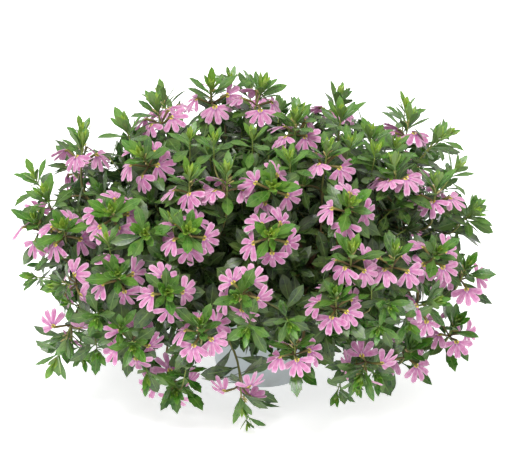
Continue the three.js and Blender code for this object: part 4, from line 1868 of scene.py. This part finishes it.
@dataclass(frozen=True)
class StalkFinish(Dressing):
    """Stems, tubes, buds and styles: one colour that turns into another with age, softly streaked."""

    shine = {"Specular IOR Level": 0.35}
    fresh: Tint
    old: Tint
    streak: Tint
    turning: Pair = (0.2, 0.9)
    gloss: Pair = (0.45, 0.6)

    def paint(self, coat: Coat, effects: Effects) -> None:
        """Lay on the colour that turns with age, and its streaks."""
        sheet = coat.sheet
        mottle = sheet.group(effects.mottle, patches=220, grain=1800)
        patch, speck = mottle.outputs["Patch"], mottle.outputs["Speck"]
        body = sheet.mix(sheet.step(sheet.attribute("age"), *self.turning), self.fresh, self.old)
        coat.colour(sheet.lay(body, self.streak, patch, 0.45))
        coat.rough(speck, *self.gloss)
        coat.relief(speck, 0.4, 0.0002)


@dataclass(frozen=True)
class PlasticFinish(Dressing):
    """The pot's plastic: satin light grey with a moulded grain, dull patches and scuffs low down."""

    shine = {"Specular IOR Level": 0.45}
    body: Tint
    dusty: Tint
    gloss: Pair = (0.38, 0.55)

    def paint(self, coat: Coat, effects: Effects) -> None:
        """Lay on the grey, the dust low down and the moulded grain."""
        sheet = coat.sheet
        mottle = sheet.group(effects.mottle, patches=22, grain=1400)
        patch, speck = mottle.outputs["Patch"], mottle.outputs["Speck"]
        place = sheet.add("ShaderNodeTexCoord", {}).outputs["Object"]
        height = sheet.add("ShaderNodeSeparateXYZ", {0: place}).outputs[2]
        low = sheet.rest(sheet.step(height, 0.0, 0.03))
        dust = sheet.math("MULTIPLY", sheet.math("MAXIMUM", low, 0.25), patch)
        coat.colour(sheet.lay(self.body, self.dusty, dust, 0.5))
        coat.rough(patch, *self.gloss)
        coat.relief(speck, 0.25, 0.0002)


@dataclass(frozen=True)
class EarthFinish(Dressing):
    """The potting soil and its grit: dark peat with paler fibres, or white grains."""

    shine = {"Specular IOR Level": 0.2}
    peat: Tint
    fibre: Tint
    grain: float = 1200

    def paint(self, coat: Coat, effects: Effects) -> None:
        """Lay on the peat or grit with its grain."""
        sheet = coat.sheet
        mottle = sheet.group(effects.mottle, patches=240, grain=self.grain)
        patch, speck = mottle.outputs["Patch"], mottle.outputs["Speck"]
        coat.colour(sheet.mix(patch, self.peat, self.fibre))
        coat.rough(speck, 0.85, 0.98)
        coat.relief(speck, 0.8, 0.0008)


FINISHES = {
    Finish.LEAF_UPPER: LeafFinish(
        mature=tint(61, 102, 28),
        cool=tint(58, 94, 48),
        # dark: the near-black green of old leaves and of painted shade.
        dark=tint(22, 41, 19),
        young=tint(142, 164, 58),
        rib=tint(118, 148, 76),
        rib_share=0.45,
        gloss=(0.25, 0.39),
    ),
    Finish.LEAF_LOWER: LeafFinish(
        mature=tint(88, 114, 64),
        cool=tint(100, 124, 92),
        # dark: the near-black green of old leaves and of painted shade.
        dark=tint(46, 65, 40),
        young=tint(142, 164, 74),
        rib=tint(134, 154, 98),
        rib_share=0.7,
        gloss=(0.55, 0.7),
    ),
    Finish.STEM: StalkFinish(
        fresh=tint(134, 156, 72), old=tint(96, 64, 48), streak=tint(98, 92, 50)
    ),
    Finish.PETAL: PetalFinish(
        pink=tint(184, 112, 152),
        pale=tint(216, 182, 200),
        deep=tint(156, 78, 126),
        line=tint(148, 60, 116),
        violet=tint(128, 62, 132),
        cream=tint(206, 180, 66),
    ),
    Finish.TUBE: StalkFinish(
        fresh=tint(122, 118, 46), old=tint(84, 66, 38), streak=tint(70, 38, 38), turning=(0.4, 1.0)
    ),
    Finish.BUD: StalkFinish(
        fresh=tint(158, 172, 88), old=tint(176, 146, 104), streak=tint(172, 108, 112)
    ),
    Finish.STYLE: StalkFinish(
        fresh=tint(222, 196, 206), old=tint(196, 150, 172), streak=tint(150, 96, 130)
    ),
    Finish.POT: PlasticFinish(body=tint(184, 193, 197), dusty=tint(150, 148, 140)),
    Finish.SOIL: EarthFinish(peat=tint(42, 30, 24), fibre=tint(86, 64, 46)),
    Finish.GRIT: EarthFinish(peat=tint(196, 192, 182), fibre=tint(232, 230, 222)),
}


class Paints:
    """Every material of the plant and its pot, made once."""

    def __init__(self) -> None:
        """Make the materials."""
        effects = Effects()
        self.materials = {
            finish: sort.dress(finish.value, effects) for finish, sort in FINISHES.items()
        }

    def of(self, *finishes: Finish) -> list[bpy.types.Material]:
        """Give the materials of some finishes, in order."""
        return [self.materials[finish] for finish in finishes]


@dataclass
class Pot:
    """The tapered plastic pot, in millimetres."""

    height: float = 112
    foot_radius: float = 43
    mouth_radius: float = 61
    wall: float = 2
    floor: float = 3
    lip_height: float = 10
    lip_overhang: float = 3
    band_height: float = 9
    band_set_back: float = 0.8
    hole_count: int = 5
    hole_ring: float = 27
    hole_radius: float = 4
    edge_radius: float = 0.35
    edge_round: float = 1
    sharp: float = 0.45
    sides: int = 96

    def wall_at(self, z: float) -> float:
        """Give the wall's outer radius at a height."""
        return self.foot_radius + (self.mouth_radius - self.foot_radius) * z / self.height

    def outline(self) -> list[Pair]:
        """Give the pot's half section, from the middle of the underside round to the floor's top."""
        lip_foot = self.height - self.lip_height
        outer = self.mouth_radius + self.lip_overhang
        return [
            (0, 0),
            (self.wall_at(0) - self.band_set_back, 0),
            (self.wall_at(self.band_height) - self.band_set_back, self.band_height),
            (self.wall_at(self.band_height), self.band_height),
            (self.wall_at(lip_foot), lip_foot),
            (outer - self.edge_round, lip_foot),
            (outer, self.height - self.edge_round),
            (outer - self.edge_round, self.height),
            (self.mouth_radius - self.wall, self.height),
            (self.wall_at(self.floor) - self.wall, self.floor),
            (0, self.floor),
        ]

    def build(self, paints: Paints) -> bpy.types.Object:
        """Spin the pot from its half section, round its edges and drill its drain holes.

        Args:
            paints: The materials.

        Returns:
            The pot.
        """
        bm = spun(self.outline(), self.sides)
        corners = [edge for edge in bm.edges if edge.calc_face_angle(0) > self.sharp]
        width = self.edge_radius
        bmesh.ops.bevel(
            bm, geom=corners, offset=width, segments=3, affect="EDGES", profile=0.5, material=-1
        )
        piece = finished(bm, "pot_shell", paints.of(Finish.POT))
        drills = bmesh.new()
        for i in range(self.hole_count):
            at = around(FULL_TURN * i / self.hole_count) * self.hole_ring
            bmesh.ops.create_cone(
                drills,
                cap_ends=True,
                segments=24,
                radius1=self.hole_radius,
                radius2=self.hole_radius,
                depth=4 * self.floor,
                matrix=Matrix.Translation(at),
            )
        cutter = finished(drills, "drills", [])
        holes = piece.modifiers.new("drain_holes", "BOOLEAN")
        holes.object = cutter
        holes.operation = "DIFFERENCE"
        cut = bpy.data.meshes.new_from_object(piece.evaluated_get(bpy.context.evaluated_depsgraph_get()))
        piece.modifiers.clear()
        piece.data = cut
        bpy.data.objects.remove(cutter)
        return piece


@dataclass
class Soil:
    """The potting soil with crumbs and grit on its crown, in millimetres."""

    pot: Pot
    gap: float = 0.6
    foot: float = 3.3
    edge: float = 100
    shoulder: float = 102.4
    crown: float = 103
    level_share: float = 0.6
    rings: int = 16
    sides: int = 72
    crumbs: int = 520
    grit: int = 90
    crumb_sizes: Pair = (0.7, 1.2)
    crumb_margin: float = 7
    sunk: float = 0.3

    def outline(self) -> list[Pair]:
        """Give the soil's half section, from the middle of its underside to the crown."""
        inside = self.pot.wall + self.gap
        rim = self.pot.wall_at(self.edge) - inside
        shares = [1 - i / self.rings for i in range(1, self.rings)]
        slope = [(rim * share, self.height_at(share)) for share in shares]
        return [
            (0, self.foot),
            (self.pot.wall_at(self.foot) - inside, self.foot),
            (rim, self.edge),
            *slope,
            (0, self.crown),
        ]

    def height_at(self, share: float) -> float:
        """Give the soil's height at a share of its radius."""
        level = self.level_share
        if share < level:
            return self.crown + (self.shoulder - self.crown) * share / level
        return self.shoulder + (self.edge - self.shoulder) * (share - level) / (1 - level)

    def build(self, paints: Paints) -> bpy.types.Object:
        """Spin the soil, roughen its top and scatter its crumbs and grit.

        Args:
            paints: The materials.

        Returns:
            The soil.
        """
        bm = spun(self.outline(), self.sides)
        for vert in bm.verts:
            if vert.co.z > 0.99 * self.edge:
                vert.co.z += 0.9 * noise.noise(vert.co * 0.16) + 0.5 * noise.noise(vert.co * 0.6)
        rim = self.pot.wall_at(self.edge) - self.crumb_margin
        for k in range(self.crumbs + self.grit):
            share = math.sqrt((k + 0.5) / (self.crumbs + self.grit))
            turn = k * GOLDEN_ANGLE
            grit = k % (self.crumbs // self.grit + 1) == 0
            size = ramp(self.crumb_sizes, draw(k, 0, Use.CRUMB_SIZE) ** 2)
            at = around(turn, share * rim)
            at.z = self.height_at(share * rim / (rim + 4)) + self.sunk * size
            stand = Matrix.Rotation(turn * 3, 4, "X") @ Matrix.Diagonal((1.3, 1.0, 0.75, 1))
            made = bmesh.ops.create_icosphere(
                bm, subdivisions=1, radius=size, matrix=Matrix.Translation(at) @ stand
            )
            for face in {face for vert in made["verts"] for face in vert.link_faces}:
                face.material_index = 1 if grit else 0
        return finished(bm, "soil_fill", paints.of(Finish.SOIL, Finish.GRIT))


def spun(outline: list[Pair], sides: int) -> bmesh.types.BMesh:
    """Spin a half section round the upright axis into a closed form.

    Args:
        outline: The section's radii and heights, from the axis round to the axis.
        sides: How many steps the turn has.

    Returns:
        The form.
    """
    bm = bmesh.new()
    points = [bm.verts.new((radius, 0, height)) for radius, height in outline]
    edges = [bm.edges.new(pair) for pair in zip(points, points[1:])]
    bmesh.ops.spin(
        bm,
        geom=points + edges,
        cent=(0, 0, 0),
        axis=(0, 0, 1),
        angle=FULL_TURN,
        steps=sides,
        use_merge=True,
    )
    bmesh.ops.remove_doubles(bm, verts=bm.verts, dist=0.01)
    bmesh.ops.recalc_face_normals(bm, faces=bm.faces)
    for face in bm.faces:
        face.smooth = True
    for edge in bm.edges:
        edge.smooth = edge.calc_face_angle(0) < 0.6
    return bm


def finished(bm: bmesh.types.BMesh, name: str, materials: Iterable[bpy.types.Material]) -> bpy.types.Object:
    """Write a form modelled in millimetres as a piece in metres.

    Args:
        bm: The form, which ends here.
        name: The piece's name.
        materials: Its materials, in the order of the slots.

    Returns:
        The piece's object, at the origin.
    """
    bmesh.ops.scale(bm, vec=(MM, MM, MM), verts=bm.verts)
    mesh = bpy.data.meshes.new(name)
    bm.to_mesh(mesh)
    bm.free()
    for material in materials:
        mesh.materials.append(material)
    piece = bpy.data.objects.new(name, mesh)
    bpy.context.scene.collection.objects.link(piece)
    return piece


@dataclass
class Studio:
    """The pale floor, the soft lights and the camera, in metres."""

    floor_half: float = 9.0
    lens: float = 300
    sensor: float = 36
    distance: float = 3.998
    aim_right: float = -0.009
    aim_up: float = 0.12635
    sky: float = 0.91
    key_power: float = 140
    fill_power: float = 14
    floor_glow: float = 0.56

    def floor(self) -> bpy.types.Object:
        """Lay the pale floor that the pot stands on."""
        bm = bmesh.new()
        bmesh.ops.create_grid(bm, x_segments=1, y_segments=1, size=self.floor_half)
        mesh = bpy.data.meshes.new("floor")
        bm.to_mesh(mesh)
        bm.free()
        values = {"Roughness": 0.9, "Specular IOR Level": 0.1, "Emission Strength": self.floor_glow}
        coat = Coat("floor_paint", values)
        speck = coat.sheet.add("ShaderNodeTexNoise", {"Scale": 3.0}).outputs["Fac"]
        coat.colour(coat.sheet.mix(speck, (0.93, 0.93, 0.93), (0.96, 0.96, 0.96)))
        coat.shader.inputs["Emission Color"].default_value = (1, 1, 1, 1)
        mesh.materials.append(coat.material)
        floor = bpy.data.objects.new("floor", mesh)
        bpy.context.scene.collection.objects.link(floor)
        return floor

    def lamp(self, name: str, place: Vector, size: float, power: float) -> None:
        """Hang a soft square lamp that faces the plant.

        Args:
            name: Its name.
            place: Where it hangs.
            size: Its side.
            power: Its power in watts.
        """
        light = bpy.data.lights.new(name, "AREA")
        light.size = size
        light.energy = power
        lamp = bpy.data.objects.new(name, light)
        towards = Vector((0, 0, 0.15)) - place
        lamp.matrix_world = Matrix.Translation(place) @ towards.to_track_quat("-Z", "Y").to_matrix().to_4x4()
        bpy.context.scene.collection.objects.link(lamp)

    def camera(self) -> None:
        """Set the camera at the photograph's angle."""
        data = bpy.data.cameras.new("camera")
        data.lens = self.lens
        data.sensor_width = self.sensor
        data.sensor_fit = "HORIZONTAL"
        data.clip_end = 50
        camera = bpy.data.objects.new("camera", data)
        target = blend((RIGHT, self.aim_right), (VIEW_UP, self.aim_up))
        turn = (-TO_VIEWER).to_track_quat("-Z", "Y").to_matrix().to_4x4()
        camera.matrix_world = Matrix.Translation(target + TO_VIEWER * self.distance) @ turn
        bpy.context.scene.collection.objects.link(camera)
        bpy.context.scene.camera = camera

    def build(self) -> None:
        """Set up the floor, the lights and the camera."""
        scene = bpy.context.scene
        scene.view_settings.view_transform = "Standard"
        self.floor()
        world = bpy.data.worlds.new("studio")
        world.use_nodes = True
        sky = world.node_tree.nodes["Background"]
        sky.inputs["Color"].default_value = (1, 1, 1, 1)
        sky.inputs["Strength"].default_value = self.sky
        scene.world = world
        self.lamp("key", Vector((-0.7, -1.7, 3.1)), 1.2, self.key_power)
        self.lamp("fill", Vector((2.0, -2.2, 1.2)), 1.6, self.fill_power)
        self.camera()


def settle(piece: bpy.types.Object, slot: str, *nodes: str) -> None:
    """Let a piece ride on the plant and stand for its solids.

    Args:
        piece: The piece.
        slot: The name of a material slot; not used.
        nodes: The solids' names.
    """
    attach(piece, "root")
    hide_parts(*nodes)
    faces = sum(len(polygon.vertices) - 2 for polygon in piece.data.polygons)
    LOG.info("%s: %d triangles, for %s", piece.name, faces, ", ".join(nodes))


def main() -> None:
    """Dress the whole plant."""
    logging.basicConfig(level=logging.INFO, format="%(name)s: %(message)s")
    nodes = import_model()["nodes"]
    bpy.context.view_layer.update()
    paints = Paints()
    pot = Pot()
    settle(pot.build(paints), "pot_plastic", "pot")
    settle(Soil(pot).build(paints), "soil", "potting_soil")

    rule = PlantRule(Mound())
    stem_names = sorted(name for name in nodes if name.startswith("leafy_stem_"))
    ring_names = sorted(name for name in nodes if name.startswith("bloom_ring_"))
    corners = [SolidCorners(nodes[name]) for name in stem_names]
    stems = rule.grow(corners)
    rings = [BloomRing.found_in(SolidCorners(nodes[name]), stems, rule) for name in ring_names]
    worst = max(ring.misfit(SolidCorners(nodes[name])) for ring, name in zip(rings, ring_names))
    LOG.info("%d stems, %d rings, rings off by %.2f mm at most", len(stems), len(rings), worst)
    canopy = Canopy(rule, stems, rings)
    blades = Blades()
    ring_of = {ring.stem.shoot.index: ring for ring in rings}
    leaf_materials = paints.of(Finish.LEAF_UPPER, Finish.LEAF_LOWER, Finish.STEM, Finish.BUD)
    total = 0
    for owner, name in enumerate(stem_names):
        leafy = LeafyStem(blades, canopy, corners[owner])
        for stem in stems:
            if stem.owner == owner:
                leafy.add_stem(stem, ring_of.get(stem.shoot.index))
        for twig in canopy.twigs:
            if twig.owner == owner:
                leafy.add_twig(twig)
        total += leafy.leaves
        number = name.rsplit("_", 1)[1]
        settle(finished(leafy.whole.bm, f"leafy_growth_{number}", leaf_materials), "foliage", name)
    LOG.info("%d leaves, %d twigs", total, len(canopy.twigs))
    bloom_materials = paints.of(Finish.PETAL, Finish.TUBE, Finish.STYLE)
    for ring, name in zip(rings, ring_names):
        number = name.rsplit("_", 1)[1]
        piece = finished(Whorl(blades, ring).build().bm, f"blooms_{number}", bloom_materials)
        settle(piece, "petals", name)
    blades.discard()
    Studio().build()
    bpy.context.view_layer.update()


if __name__ == "__main__":
    main()
